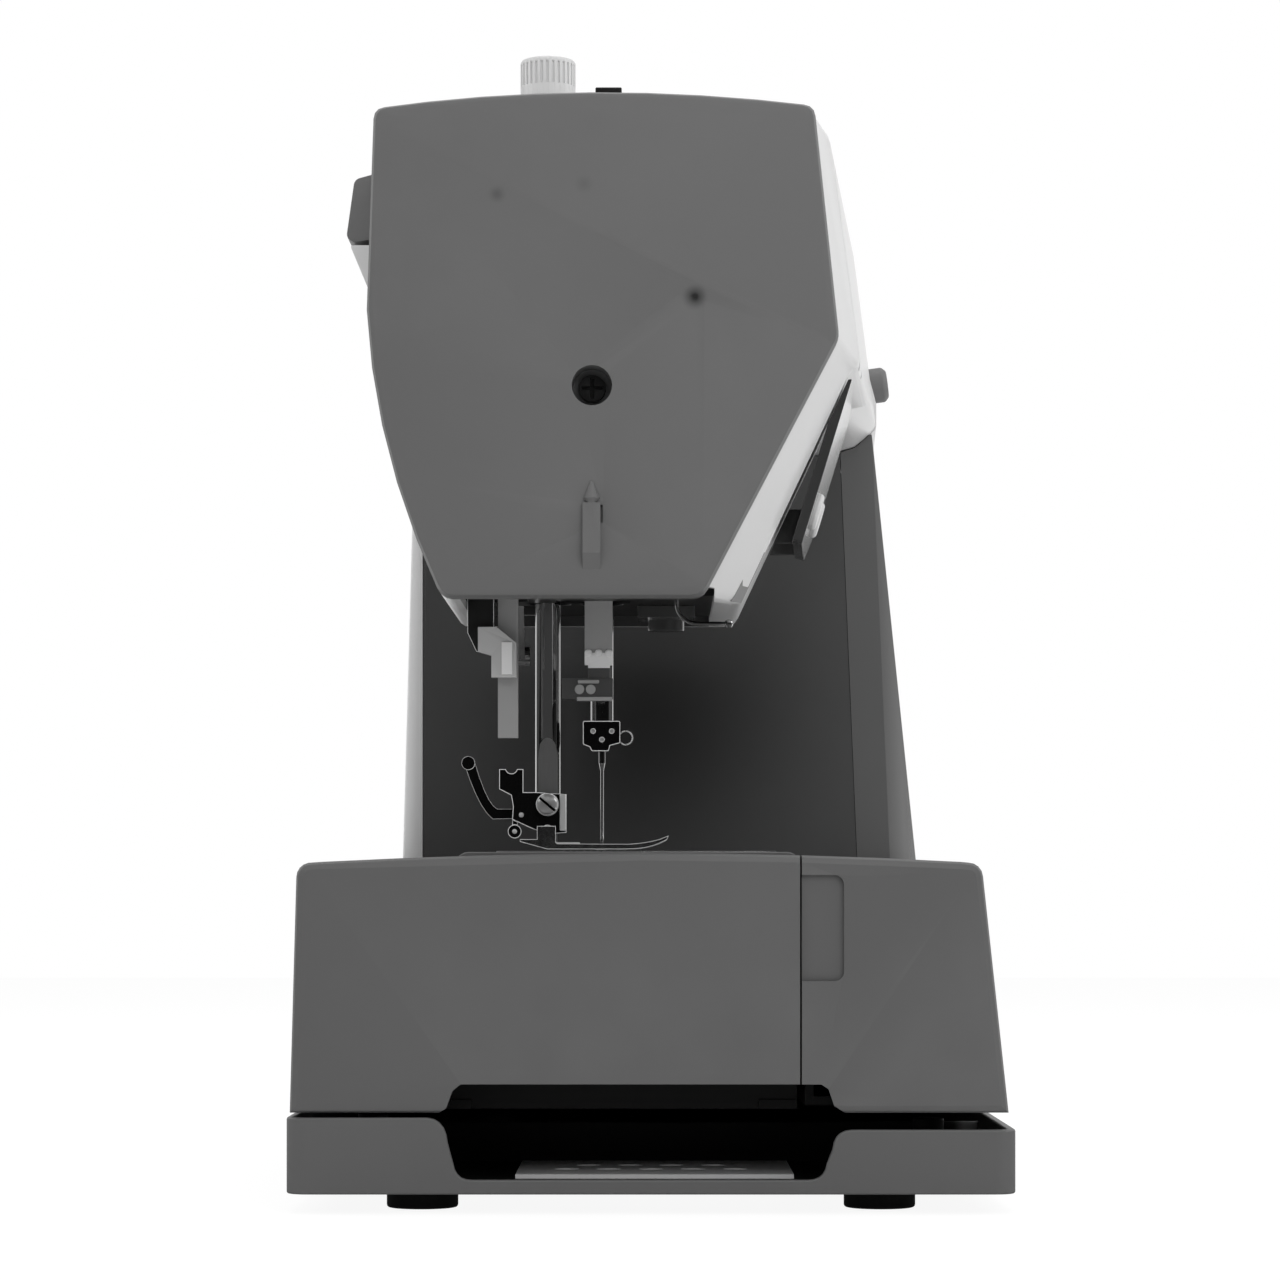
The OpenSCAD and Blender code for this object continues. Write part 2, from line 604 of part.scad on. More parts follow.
pin_y = 8;
pin_z = crown_z + 13;
module spool_pin() color("#d8d8d8") {
    block(x_pillar + 8, x_pillar + 16, pin_y - 8, pin_y + 8, crown_z + 0.1, pin_z + 4);
    rod_x(x_pillar - 62, x_pillar + 10, pin_y, pin_z, 5);
    rod_x(x_pillar + 5, x_pillar + 8.1, pin_y, pin_z, 18);
}

// ---- Frames inside ----

plate_low = 44;
hook_y = y_needle - hook_d / 2 - 2;
gear_r = (y_needle - hook_y) / 2 - 0.2;
belt_x = x_right - 49;
big_x = belt_x + 16;
motor_x0 = x_pillar + 14;
motor_x1 = big_x - 26;
saddle_x = [motor_x0 + 4, motor_x1 - 18];
motor_y = -55;
motor_z = 68;
motor_d = 44;
bush_len = 12;
lower_bush_x = [x_needle + 16, belt_x - 36];
main_bush_x = [x_needle + 32, belt_x - 36, x_right - 19];
shaft_d = 8;
bush_d = 13;

module bed_frame() color("#a8acb0") difference() {
    union() {
        block(x_left + tray_end + 8, x_right - 8, y_arm + 12, y_arm_rear - 9, plate_low - 4, plate_low);
        block(x_pillar + 10, x_right - 8, y_arm_rear - 11, max(y_web + 8, y_arm_rear + 2), plate_low - 4, plate_low);
        block(x_pillar + 10, motor_x1 + 4, motor_y - 27, y_arm + 13, plate_low - 4, plate_low);
        for (x = lower_bush_x) block(x, x + bush_len, y_needle - 10, y_needle + 10, plate_low - 1, z_lower + 10);
        for (x = saddle_x) block(x, x + 8, motor_y - 16, motor_y + 16, plate_low - 1, plate_low + 8);
        rod_z(x_needle, hook_y, plate_low - 1, plate_low + 12, 18);
        for (y = [y_arm + 14, y_arm_rear - 12])
            block(x_left + tray_end + 8, belt_x, y, y + 3, plate_low - 1, plate_low + 6);
        // posts to the base pan
        for (x = [x_pillar + 20, x_right - 15]) rod_z(x, 30, z_pan + wall, plate_low - 3, 12);
    }
    for (x = lower_bush_x) rod_x(x - 1, x + bush_len + 1, y_needle, z_lower, bush_d);
    rod_x(saddle_x[0] - 1, saddle_x[1] + 9, motor_y, motor_z, motor_d + 2 * fit_gap);
    rod_z(x_needle, hook_y, plate_low - 6, plate_low + 20, 6 + 2 * run_gap);
    block(big_x - 3, big_x + 13, y_arm + 11, y_arm_rear - 9, plate_low - 6, plate_low + 20);
}

module arm_web() difference() {
    translate([0, y_web + web_t, 0]) rotate([90, 0, 0]) linear_extrude(web_t) polygon([
        [x_pillar + 20, plate_low], [x_right - 18, plate_low], [x_right - 8, z_shaft - 30],
        [x_right - 8, z_shaft + 28], [x_shell + 6, z_shaft + 28], [x_shell + 6, z_head + 44],
        [x_needle - 7, z_head + 44], [x_needle - 7, z_head + 12], [x_head - 8, z_head + 12],
        [x_head - 8, z_arm + 8], [x_pillar + 20, z_arm + 8]]);
    // lightening holes
    for (x = [x_pillar + 40 : 34 : x_right - 40], z = [bed_z + 20 : 40 : z_arm - 20])
        translate([x, y_web + 10, z]) rotate([90, 0, 0]) cylinder(h = 20, d = 22);
    for (x = [x_head + 20 : 28 : x_pillar]) translate([x, y_web + 10, z_arm + 34]) rotate([90, 0, 0])
        cylinder(h = 20, d = 18);
}
module arm_frame() color("#b0b4b8") difference() {
    union() {
        arm_web();
        // bosses of the main shaft
        for (x = main_bush_x) block(x, x + bush_len, y_needle - 10, y_web + 1, z_shaft - 10, z_shaft + 10);
        // guides of the needle bar and the presser bar
        for (z = [z_head + 14, z_shaft + 8])
            block(x_needle - 7, x_needle + 7, y_needle - 6.5, y_web + 1, z, z + 12);
        // post of the face cover screw
        block(x_shell + 6, x_shell + 16, screw_y - 6, y_web + 1, screw_z - 5, screw_z + 5);
        // carrier of the take-up lever
        block(take_x + 1.5, take_x + 8, take_y - 5, y_web + 1, take_z - 6, take_z + 6);
        rod_x(take_x - 4, take_x + 3, take_y, take_z, 5);
        // carrier of the tension dial
        block(tension_x + 4, tension_x + 10, tension_y - 5, y_web + 1, tension_z - 5, tension_z + 5);
        rod_x(tension_x - 4.5, tension_x + 5, tension_y, tension_z, 5);
        // pivot of the presser lifter
        block(lift_x - 5, lift_x + 5, 43.3, y_web + 1, lift_z - 5, lift_z + 5);
        translate([lift_x, 44, lift_z]) rotate([90, 0, 0]) cylinder(h = 9.5, d = 5);
    }
    for (x = main_bush_x) rod_x(x - 1, x + bush_len + 1, y_needle, z_shaft, bush_d);
    for (z = [z_head + 13, z_shaft + 7]) {
        rod_z(x_needle, y_needle, z, z + 14, needle_bar_d + 2 * run_gap);
        rod_z(x_needle, y_presser, z, z + 14, presser_bar_d + 2 * run_gap);
    }
    rod_x(x_shell + 5, x_shell + 17, screw_y, screw_z, 4.2);
}

module bush_x(x, z) difference() {
    rod_x(x, x + bush_len, y_needle, z, bush_d);
    rod_x(x - 1, x + bush_len + 1, y_needle, z, shaft_d + 2 * run_gap);
}
module shaft_bushes() color("#b08d4c") {
    for (x = main_bush_x) bush_x(x, z_shaft);
    for (x = lower_bush_x) bush_x(x, z_lower);
}

module control_board() color("#2f5d3a") {
    block(x_pillar + 24, x_right - 24, y_web + 12, y_web + 13.6, bed_z + 14, z_arm - 16);
    for (x = [x_pillar + 27, x_right - 27], z = [bed_z + 17, z_arm - 19]) translate([x, y_web + 12.1, z])
        rotate([90, 0, 0]) cylinder(h = 6.1, d = 5);
    block(x_pillar + 40, x_pillar + 58, y_web + 13.5, y_web + 18, bed_z + 24, bed_z + 44);
    block(x_right - 63, x_right - 49, y_web + 13.5, y_web + 20, bed_z + 50, bed_z + 62);
}

// ---- Drive ----

belt_pulley_d = 24;
motor_pulley_d = 13;
big_pulley_d = 56;
belt_t = 1.6;
belt_w = 7;
belt_gap = 0.4;

// Flat loop round two pulleys that both turn about X
module belt_loop(x, y0, z0, d0, y1, z1, d1) difference() {
    along_x(x, x + belt_w) hull() {
        translate([y0, z0]) circle(d = d0 + 2 * belt_gap + 2 * belt_t);
        translate([y1, z1]) circle(d = d1 + 2 * belt_gap + 2 * belt_t);
    }
    along_x(x - 1, x + belt_w + 1) hull() {
        translate([y0, z0]) circle(d = d0 + 2 * belt_gap);
        translate([y1, z1]) circle(d = d1 + 2 * belt_gap);
    }
}
module timing_belt() color("#1c1c1c")
    belt_loop(belt_x + 1.5, y_needle, z_lower, belt_pulley_d, y_needle, z_shaft, belt_pulley_d);
module motor_belt() color("#1c1c1c")
    belt_loop(big_x + 1.5, motor_y, motor_z, motor_pulley_d, y_needle, z_lower, big_pulley_d);

module flanged_pulley(x, y, z, d) {
    rod_x(x, x + 10, y, z, d);
    rod_x(x, x + 1, y, z, d + 4);
    rod_x(x + 9, x + 10, y, z, d + 4);
}

module drive_motor() color("#8c8f94") {
    difference() {
        rod_x(motor_x0, motor_x1, motor_y, motor_z, motor_d);
        rod_x(motor_x1 - 14, motor_x1 + 1, motor_y, motor_z, 6);
    }
}
module motor_pulley() color("#9a9a9a") {
    rod_x(motor_x1 - 13.7, big_x + 1, motor_y, motor_z, 6 - 2 * run_gap);
    flanged_pulley(big_x, motor_y, motor_z, motor_pulley_d);
}

module lower_shaft() color("#c4c4c4") {
    rod_x(x_needle - 8, x_right - 12, y_needle, z_lower, shaft_d);
    flanged_pulley(belt_x, y_needle, z_lower, belt_pulley_d);
    flanged_pulley(big_x, y_needle, z_lower, big_pulley_d);
    // gear that drives the hook from the side
    translate([x_needle - 6, y_needle, z_lower]) rotate([0, 90, 0]) gear(2 * gear_r, 12);
}
module gear(d, w) linear_extrude(w) {
    circle(d = d - 3);
    for (a = [0 : 20 : 340]) rotate(a) translate([d / 2 - 2, -0.9]) square([2, 1.8]);
}

module main_shaft() color("#c8c8c8") {
    rod_x(crank_x, x_right + 8, y_needle, z_shaft, shaft_d);
    flanged_pulley(belt_x, y_needle, z_shaft, belt_pulley_d);
    // crank disc with its counterweight and pin
    difference() {
        rod_x(crank_x, crank_x + 6, y_needle, z_shaft, 2 * crank_r + 12);
        block(crank_x - 1, crank_x + 2.5, y_needle - 30, y_needle + 30, z_shaft - 40, z_shaft - 6);
    }
    rod_x(crank_x - 4.2, crank_x + 1, y_needle + crank_r, z_shaft, 5);
}
crank_x = x_needle + 18;

module handwheel() color("#d4d4d4") difference() {
    union() {
        translate([x_right + 3, y_needle, z_shaft]) rotate([0, 90, 0]) rotate_extrude($fn = 96)
            polygon([[4.1, 0], [12, 0], [12, 3], [wheel_d / 2 - 6, 3], [wheel_d / 2 - 6, 0], [wheel_d / 2 - 2, 0],
                [wheel_d / 2, 2], [wheel_d / 2, wheel_out - 7], [wheel_d / 2 - 4, wheel_out - 3], [4.1, wheel_out - 3]]);
        rod_x(x_right - 4, x_right + 4, y_needle, z_shaft, 28);
    }
    rod_x(x_right - 5, x_right + 8.2, y_needle, z_shaft, shaft_d + 0.02);
    // finger dimple
    translate([x_right + wheel_out, y_needle, z_shaft + wheel_d / 2 - 14]) rotate([0, 90, 0]) sphere(d = 14);
    for (a = [0 : 15 : 345]) translate([x_right + 3, y_needle, z_shaft]) rotate([a, 0, 0])
        translate([3, -0.8, wheel_d / 2 - 0.9]) cube([wheel_out - 11, 1.6, 3]);
}

z_hook = bed_z - 27.5;
module rotary_hook() color("#bcbcbc") {
    difference() {
        rod_z(x_needle, hook_y, z_hook, bed_z - 9, hook_d);
        rod_z(x_needle, hook_y, z_hook + 2.5, bed_z - 5, hook_d - 4);
        // opening behind the hook point
        rotate_about(x_needle, hook_y, 20) block(-4, 10, hook_d / 2 - 6, hook_d / 2 + 2, z_hook + 8, bed_z);
    }
    rod_z(x_needle, hook_y, plate_low - 3, z_hook + 0.1, 6);
    // driven gear
    translate([x_needle, hook_y, z_lower - 3.5]) gear(2 * gear_r, 7);
}
module rotate_about(x, y, a) translate([x, y, 0]) rotate(a) children();

module bobbin_case() color("#303032") difference() {
    union() {
        rod_z(x_needle, hook_y, z_hook + 2.8, bed_z - 9.5, hook_d - 5);
        // stop finger against the frame of the plate
        block(x_needle - 20, x_needle - 6, hook_y - 5, hook_y + 5, bed_z - 8.7, bed_z - 7);
        rod_z(x_needle, hook_y, bed_z - 9.6, bed_z - 7, hook_d - 5);
    }
    rod_z(x_needle, hook_y, z_hook + 6, bed_z, 23);
}
module bobbin() color("#c0ccd4") difference() {
    union() {
        rod_z(x_needle, hook_y, z_hook + 6.3, z_hook + 7.5, 20.5);
        rod_z(x_needle, hook_y, z_hook + 7.4, z_hook + 17, 9);
        rod_z(x_needle, hook_y, z_hook + 16.9, z_hook + 18, 20.5);
    }
    rod_z(x_needle, hook_y, z_hook, z_hook + 30, 6);
}

module dog_row(x, y0, y1) {
    block(x - 1.5, x + 1.5, y0, y1, bed_z - 4.5, bed_z - 0.4);
    for (y = [y0 : 2 : y1 - 1.9]) along_x(x - 1.5, x + 1.5)
        polygon([[y, bed_z - 0.5], [y + 1.7, bed_z - 0.5], [y + 1.7, bed_z + 0.1], [y, bed_z + 0.5]]);
}
module feed_dog() color("#b4b4b4") {
    for (x = dog_x) dog_row(x, y_needle - 7, y_needle + 13);
    dog_row(x_needle, y_needle + 7, y_needle + 13);
    block(x_needle - 9.5, x_needle + 9.5, y_needle + 4.5, y_needle + 17, bed_z - 8, bed_z - 4.4);
    // feed bar down to the frame
    block(x_needle - 5, x_needle + 5, y_needle + 13, y_needle + 17, plate_low + 0.3, bed_z - 7.9);
}

// ---- Needle bar ----

z_clamp = bed_z + needle_len + 1.6;
module needle_bar() color("#cfcfcf") {
    rod_z(x_needle, y_needle, z_clamp + 2, z_shaft + 22, needle_bar_d);
    // collar with its pin, and the connecting rod that hangs from the crank
    rod_z(x_needle, y_needle, z_shaft - 46, z_shaft - 34, needle_bar_d + 6);
    rod_x(x_needle + 4, crank_x - 7.6, y_needle, z_shaft - 40, 5);
    hull() {
        rod_x(crank_x - 7.6, crank_x - 4.6, y_needle, z_shaft - 40, 9);
        rod_x(crank_x - 7.6, crank_x - 4.6, y_needle + 3, z_shaft, 11);
    }
}
function clamp_pts() = [[5.6, 8.9], [-5.4, 8.9], [-5.4, 2.4], [-2.4, 1.6], [-2, 0], [3, 0], [3.6, 1.2], [5.6, 2]];
module needle_clamp() color("#2a2a2a") difference() {
    union() {
        along_x(x_needle - 4.6, x_needle + 4.6) translate([y_needle, z_clamp]) soft(0.5) polygon(clamp_pts());
        // clamp screw
        rod_x(x_needle + 4.5, x_needle + 12, y_needle, z_clamp + 4.6, 5);
        // thread loop
        translate([x_needle - 2, y_needle - 7, z_clamp + 4]) rotate([0, 90, 0]) rotate_extrude($fn = 32)
            translate([2, 0]) circle(d = 0.8);
    }
    rod_z(x_needle, y_needle, z_clamp + 2, z_clamp + 12, needle_bar_d + 0.02);
    rod_z(x_needle, y_needle, z_clamp - 1, z_clamp + 3, 2.02);
    for (p = [[-2.9, 5.9], [2.6, 5.9], [0, 3.4]]) rod_x(x_needle - 5, x_needle - 3.9, y_needle + p[0], z_clamp + p[1], 1.2);
}
module needle() color("#d8d8d8") {
    translate([x_needle, y_needle, z_clamp - needle_len]) {
        cylinder(h = 2.4, d1 = 0.15, d2 = 1);
        translate([0, 0, 2.4]) cylinder(h = needle_len - 8, d = 1);
        translate([0, 0, needle_len - 5.7]) cylinder(h = 2.4, d1 = 1, d2 = 2);
        translate([0, 0, needle_len - 3.4]) cylinder(h = 5.4, d = 2);
    }
}

threader_x = x_needle - 9.8;
module threader() color("#b8b8b8") {
    // grip plate with its pale end
    block(threader_x, threader_x + 2.5, y_needle - 3.2, y_needle + 5, z_head - 16, z_head + 30);
    block(threader_x, threader_x + 2.5, y_needle - 2.4, y_needle + 4, z_head - 20, z_head - 15.9);
    // hook arm with its two pins
    block(threader_x - 0.5, threader_x + 4, y_needle - 3.3, y_needle + 11.6, z_head - 26, z_head - 19.9);
    for (y = [3.2, 6.5]) rod_x(threader_x - 1, threader_x - 0.4, y_needle + y, z_head - 23.2, 2.8);
}

// ---- Presser foot ----

z_sole = bed_z + 0.9;
flat_x = x_needle - presser_bar_d / 2;
module presser_bar() color("#cdcdcd") difference() {
    union() {
        rod_z(x_needle, y_presser, z_sole + 11.5, z_shaft + 18, presser_bar_d);
        // collar that the lifter pushes up
        rod_z(x_needle, y_presser, lift_z + 12, lift_z + 18, presser_bar_d + 5);
        block(x_needle + 4, x_needle + 15.5, y_presser + 4.2, y_presser + 9, lift_z + 12, lift_z + 15);
        block(x_needle + 2, x_needle + 6, y_presser, y_presser + 9, lift_z + 12, lift_z + 15);
    }
    // milled flat above the ankle
    translate([0, y_presser + 6, 0]) rotate([90, 0, 0]) linear_extrude(12) polygon([
        [flat_x - 1, z_sole + 10], [flat_x + 1.4, z_sole + 10], [flat_x + 1.3, z_sole + 27],
        [flat_x + 0.8, z_sole + 31], [flat_x, z_sole + 33], [flat_x - 1, z_sole + 33]]);
}

module presser_spring() color("#9c9c9c") {
    coil(x_needle, y_presser, lift_z + 18.4, z_shaft + 7.6, presser_bar_d / 2 + 1.6, 0.6, 7);
}
// Coil spring about Z, swept as one closed tube
module coil(x, y, z0, z1, r, wire, turns) {
    per = 14;
    n = turns * per;
    sides = 6;
    function ring(i) = let (a = 360 * i / per, z = z0 + wire + (z1 - z0 - 2 * wire) * i / n)
        [for (k = [0 : sides - 1]) let (b = 360 * k / sides, q = r + wire * cos(b)) [x + q * cos(a), y + q * sin(a), z + wire * sin(b)]];
    pts = [for (i = [0 : n]) each ring(i)];
    faces = concat(
        [[for (k = [0 : sides - 1]) k]],
        [for (i = [0 : n - 1], k = [0 : sides - 1]) [i * sides + k, (i + 1) * sides + k, (i + 1) * sides + (k + 1) % sides]],
        [for (i = [0 : n - 1], k = [0 : sides - 1]) [i * sides + k, (i + 1) * sides + (k + 1) % sides, i * sides + (k + 1) % sides]],
        [[for (k = [sides - 1 : -1 : 0]) n * sides + k]]);
    polyhedron(pts, faces);
}

function ankle_pts() = [[14.2, 23.6], [7.1, 23.6], [7.1, 16.8], [3.3, 16.8], [-5.6, 16.2], [-5.6, 4.9], [0, 4.4],
    [5.3, 6.4], [10.4, 8.8], [10.1, 12.6], [10.7, 15.9], [14.2, 17.7]];
module presser_ankle() color("#1c1c1c") difference() {
    union() {
        along_x(x_needle - 7.1, x_needle - 1.2) translate([y_presser, z_sole]) polygon(ankle_pts());
        along_x(x_needle - 7.1, x_needle + 5) translate([y_presser, z_sole]) polygon(
            [[6, 11], [6, 8.5], [5.3, 6.4], [0, 4.4], [-5.6, 4.9], [-5.6, 11]]);
        // slotted shank screw
        rod_x(x_needle - 9.6, x_needle - 7, y_presser, z_sole + 13.2, 6.4);
        // spring pin
        rod_x(x_needle - 9, x_needle - 2, y_presser + 9.6, z_sole + 5.2, 4);
        block(x_needle - 6, x_needle - 3, y_presser + 8.8, y_presser + 10.4, z_sole + 5.2, z_sole + 10);
    }
    rod_z(x_needle, y_presser, z_sole + 11.49, z_sole + 40, presser_bar_d + 0.02);
    // notch in the top
    rod_x(x_needle - 9, x_needle, y_presser + 10.6, z_sole + 24, 3.4);
    // screw slot
    translate([x_needle - 9.6, y_presser, z_sole + 13.2]) rotate([40, 0, 0]) cube([1.6, 12, 1.1], center = true);
    // groove for the bar of the foot
    rod_x(x_needle - 9, x_needle + 8, y_presser, foot_bar_z, 2.8);
    block(x_needle - 9, x_needle + 8, y_presser - 1.2, y_presser + 1.2, z_sole, foot_bar_z);
}

foot_bar_z = z_sole + 5.6;
function foot_pts() = concat([[8, 2.9], [8, 2.2], [0, 0], [-22, 0]],
    bez([-26, 0.1], [-31, 0.4], [-35.2, 2.8], 4), [[-35.7, 4]],
    bez([-33, 2.9], [-29, 1.8], [-24, 1.5], 4), [[-3, 1.6], [-1.5, 2.9], [6, 2.9]]);
module presser_foot() color("#c6c6c6") difference() {
    union() {
        along_x(x_needle - 9.5, x_needle + 9.5) translate([y_presser, z_sole]) polygon(foot_pts());
        // ears and cross bar
        for (x = [x_needle - 9.5, x_needle + 7.5]) block(x, x + 2, y_presser - 2.5, y_presser + 3, z_sole + 1, foot_bar_z + 1.2);
        rod_x(x_needle - 8, x_needle + 8, y_presser, foot_bar_z, 2.2);
    }
    // needle slot and the gap between the toes
    block(x_needle - 3.6, x_needle + 3.6, y_needle - 1.9, y_needle + 1.9, z_sole - 1, z_sole + 5);
    block(x_needle - 1.2, x_needle + 1.2, y_needle - 24, y_needle, z_sole - 1, z_sole + 9);
    // room for the ankle
    block(x_needle - 7.3, x_needle + 5.2, y_presser - 2.5, y_presser + 3, z_sole + 3.1, z_sole + 3.3);
}

module release_lever() color("#101010") {
    lx0 = x_needle - 0.9;
    along_x(lx0, lx0 + 3) translate([y_presser, z_sole]) polygon(concat(
        bez([24.6, 24.8], [20.6, 12.2], [16.4, 9], 5), [[9.4, 9.2], [9.4, 12]],
        bez([15, 12], [18, 13.4], [21.6, 25.6], 5)));
    rod_x(lx0 - 0.4, lx0 + 3.4, y_presser + 23.6, z_sole + 25.6, 4);
    rod_x(lx0, lx0 + 3, y_presser + 9.4, z_sole + 10.6, 3.6);
}

lift_x = x_needle + 18;
lift_z = z_head + 15;
module lifter_lever() color("#c2c2c2") difference() {
    union() {
        translate([0, 42.9, 0]) rotate([90, 0, 0]) linear_extrude(4.4) polygon([
            [lift_x - 6, lift_z - 5], [lift_x - 6, lift_z + 5], [lift_x + 4, lift_z + 5], [lift_x + 12, lift_z - 8],
            [lift_x + 23, lift_z - 24], [lift_x + 19, lift_z - 28], [lift_x + 6, lift_z - 12]]);
        translate([lift_x + 20.6, 45, lift_z - 25.4]) rotate([90, 0, 0]) cylinder(h = 8, d = 6);
    }
    translate([lift_x, 46, lift_z]) rotate([90, 0, 0]) cylinder(h = 14, d = 5 + 2 * run_gap);
}

bh_x = x_needle - 14;
module buttonhole_lever() color("#c6c6c6") {
    block(bh_x, bh_x + 3, 38.9, 44.8, z_head - 37.6, z_head + 20);
    // clip: a bridge beside the bracket, a plate in front of it and a raised catch
    block(bh_x - 3, bh_x + 0.1, 39.8, 45.6, z_head - 20, z_head - 10.5);
    along_x(bh_x - 5.6, bh_x - 2.9) polygon([[50.4, z_head - 5.5], [45, z_head - 5.5], [39.2, z_head - 10.2],
        [39.2, z_head - 20.2], [46.5, z_head - 20.2], [46.5, z_head - 13.8], [50.4, z_head - 12.7]]);
    block(bh_x - 6.4, bh_x - 5.5, 40.4, 43.5, z_head - 19.4, z_head - 10);
}
module buttonhole_bracket() color("#121212")
    along_x(bh_x - 2.6, bh_x + 2.6) polygon([[45.9, z_head + 44], [45.9, z_head - 13], [47, z_head - 13.3],
        [51, z_head - 12.5], [53.6, z_head - 7], [53.6, z_head + 20], [52, z_head + 44]]);

take_x = x_needle - 21;
take_y = -8;
take_z = z_shaft - 14;
module take_up_lever() color("#d2d2d2") difference() {
    union() {
        rod_x(take_x - 2, take_x, take_y, take_z, 10);
        along_x(take_x - 2, take_x) polygon([[take_y + 3, take_z + 4], [take_y - 3, take_z - 4],
            [-50, take_z + 17], [-55, take_z + 21], [-54, take_z + 25], [-48, take_z + 23]]);
    }
    rod_x(take_x - 3, take_x + 1, take_y, take_z, 5 + 2 * run_gap);
    rod_x(take_x - 3, take_x + 1, -51.6, take_z + 21.4, 2.4);
}

module pressure_dial() color("#c9c9c9") difference() {
    union() {
        translate([x_needle, y_presser, crown_z]) rotate_extrude($fn = 96)
            polygon([[0, 0.3], [dial_d / 2 - 0.3, 0.3], [dial_d / 2, 1], [dial_d / 2, dial_h - 1],
                [dial_d / 2 - 0.4, dial_h - 0.3], [dial_d / 2 - 1.2, dial_h], [0, dial_h]]);
        rod_z(x_needle, y_presser, crown_z - 18, crown_z + 1, 7.6);
        rod_z(x_needle, y_presser, crown_z - 18, crown_z - 15.5, 12);
    }
    for (a = [0 : 12 : 348]) translate([x_needle, y_presser, crown_z]) rotate(a)
        translate([dial_d / 2 - 0.5, -0.35, dial_h - 8]) cube([2, 0.7, 6.4]);
}

tension_x = x_needle + 27;
tension_y = -24;
tension_z = crown_z - 19;
tension_d = 42;
module tension_dial() color("#b4b4b6") difference() {
    rod_x(tension_x - 3, tension_x + 3, tension_y, tension_z, tension_d);
    rod_x(tension_x - 5, tension_x + 5, tension_y, tension_z, 5 + 2 * run_gap);
    for (a = [0 : 12 : 348]) translate([tension_x - 4, tension_y, tension_z]) rotate([a, 0, 0])
        translate([0, -0.6, tension_d / 2 - 0.8]) cube([8, 1.2, 3]);
}

// ---- Carry handle ----

module carry_handle() color("#6c6c6c") difference() {
    union() {
        along_x(handle_x0, handle_x1) soft(2.4) polygon([[78.5, pocket_z + 22.8], [88.5, pocket_z + 20],
            [91.2, pocket_z + 0.8], [78.5, pocket_z + 2.9]]);
        for (x = [handle_x0, handle_x1 - 8]) {
            along_x(x, x + 8) polygon([[pivot_y - 4, pivot_z - 4], [pivot_y - 4, pivot_z + 4], [80, pocket_z + 19.2],
                [80, pocket_z + 8]]);
            rod_x(x, x + 8, pivot_y, pivot_z, 9);
        }
    }
    rod_x(handle_x0 - 1, handle_x0 + 9, pivot_y, pivot_z, 4 + 2 * run_gap);
    rod_x(handle_x1 - 9, handle_x1 + 1, pivot_y, pivot_z, 4 + 2 * run_gap);
}
module handle_pins() color("#b8b8b8") {
    rod_x(handle_x0 - 2, handle_x0 + 6, pivot_y, pivot_z, 4);
    rod_x(handle_x1 - 6, handle_x1 + 2, pivot_y, pivot_z, 4);
}

// ---- Accessory tray ----

z_tray_top = bed_z - 1.2;
tray_x1 = x_pillar - tray_gap;
function tray_pts() = concat([[y_half - 1.2, z_tray]],
    arc_pts([y_half - 7, z_tray_top - 6.6], 4, 0, 80, 4),
    bez([y_half - 10, z_tray_top - 2.4], [0, z_tray_top + 2.3], [15.5 - y_half, z_tray_top - 2.4], 8),
    arc_pts([13.2 - y_half, z_tray_top - 6.6], 4, 90, 176, 4), [[2.2 - y_half, z_tray]]);
module tray_outline(inset) offset(delta = -inset) polygon(tray_pts());
module tray_form(inset) hull() {
    slice_x(x_left + inset) tray_outline(inset + 2);
    slice_x(x_left + inset + 0.6) tray_outline(inset + 0.6);
    slice_x(x_left + inset + 2) tray_outline(inset);
    slice_x(tray_x1 - inset - slice_t) tray_outline(inset);
}
lid_hinge_y = 7.1 - y_half;
box_y0 = 12 - y_half;
lid_hinge_z = z_tray + 4;
box_y1 = y_arm - tray_gap;

module accessory_tray() color("#646464") difference() {
    union() {
        intersection() {
            difference() {
                tray_form(0);
                difference() {
                    tray_form(wall);
                    // wall beside the free arm
                    block(x_left, x_pillar, y_arm_rear + tray_gap, y_arm_rear + tray_gap + wall, z_tray, bed_z);
                    block(x_left, x_left + tray_end, y_arm - tray_gap, y_arm_rear + tray_gap + 1, bed_z - 4, bed_z);
                    block(x_left + tray_end - wall, x_left + tray_end, y_arm - 4, y_half, z_tray, bed_z);
                }
                // channel of the free arm
                block(x_left + tray_end, x_pillar, y_arm - 20, y_arm_rear + tray_gap, z_tray - 1, bed_z + 1);
                // open below the end section, and over the rear compartment
                block(x_left + wall + 1, x_left + tray_end - wall, -30, 50, z_tray - 1, z_tray + 12);
            }
            block(x_left - 1, x_pillar, y_seam, y_half, z_tray - 1, bed_z + 1);
        }
        // box in front of the free arm
        difference() {
            block(x_left + wall + 0.8, tray_x1 - 0.5, box_y0, box_y1, z_tray + 1, z_tray_top - 9);
            block(x_left + 2 * wall + 0.8, tray_x1 - 0.5 - wall, box_y0 + wall, box_y1 - wall, z_tray + 1 + wall, bed_z);
        }
        block(x_left + 6, x_left + tray_end, box_y1 - 2, y_seam + 3, z_tray + 10, z_tray_top - 9);
        // hinge pins of the lid
        for (x = [x_left + 12, tray_x1 - 24]) {
            rod_x(x, x + 12, lid_hinge_y, lid_hinge_z, 3);
            block(x + 4, x + 8, lid_hinge_y, box_y0 + 1, lid_hinge_z - 1, lid_hinge_z + 1);
        }
    }
    // raised lower edge above the notch of the base
    along_x(x_left - 1, x_left + tray_end - wall - 1) polygon([[59, z_tray - 1], [58, z_tray], [56, z_tray + 1.2],
        [54.2, z_tray + 6], [52, z_tray + 7.8], [-60, z_tray + 7.8], [-60, z_tray - 1]]);
}

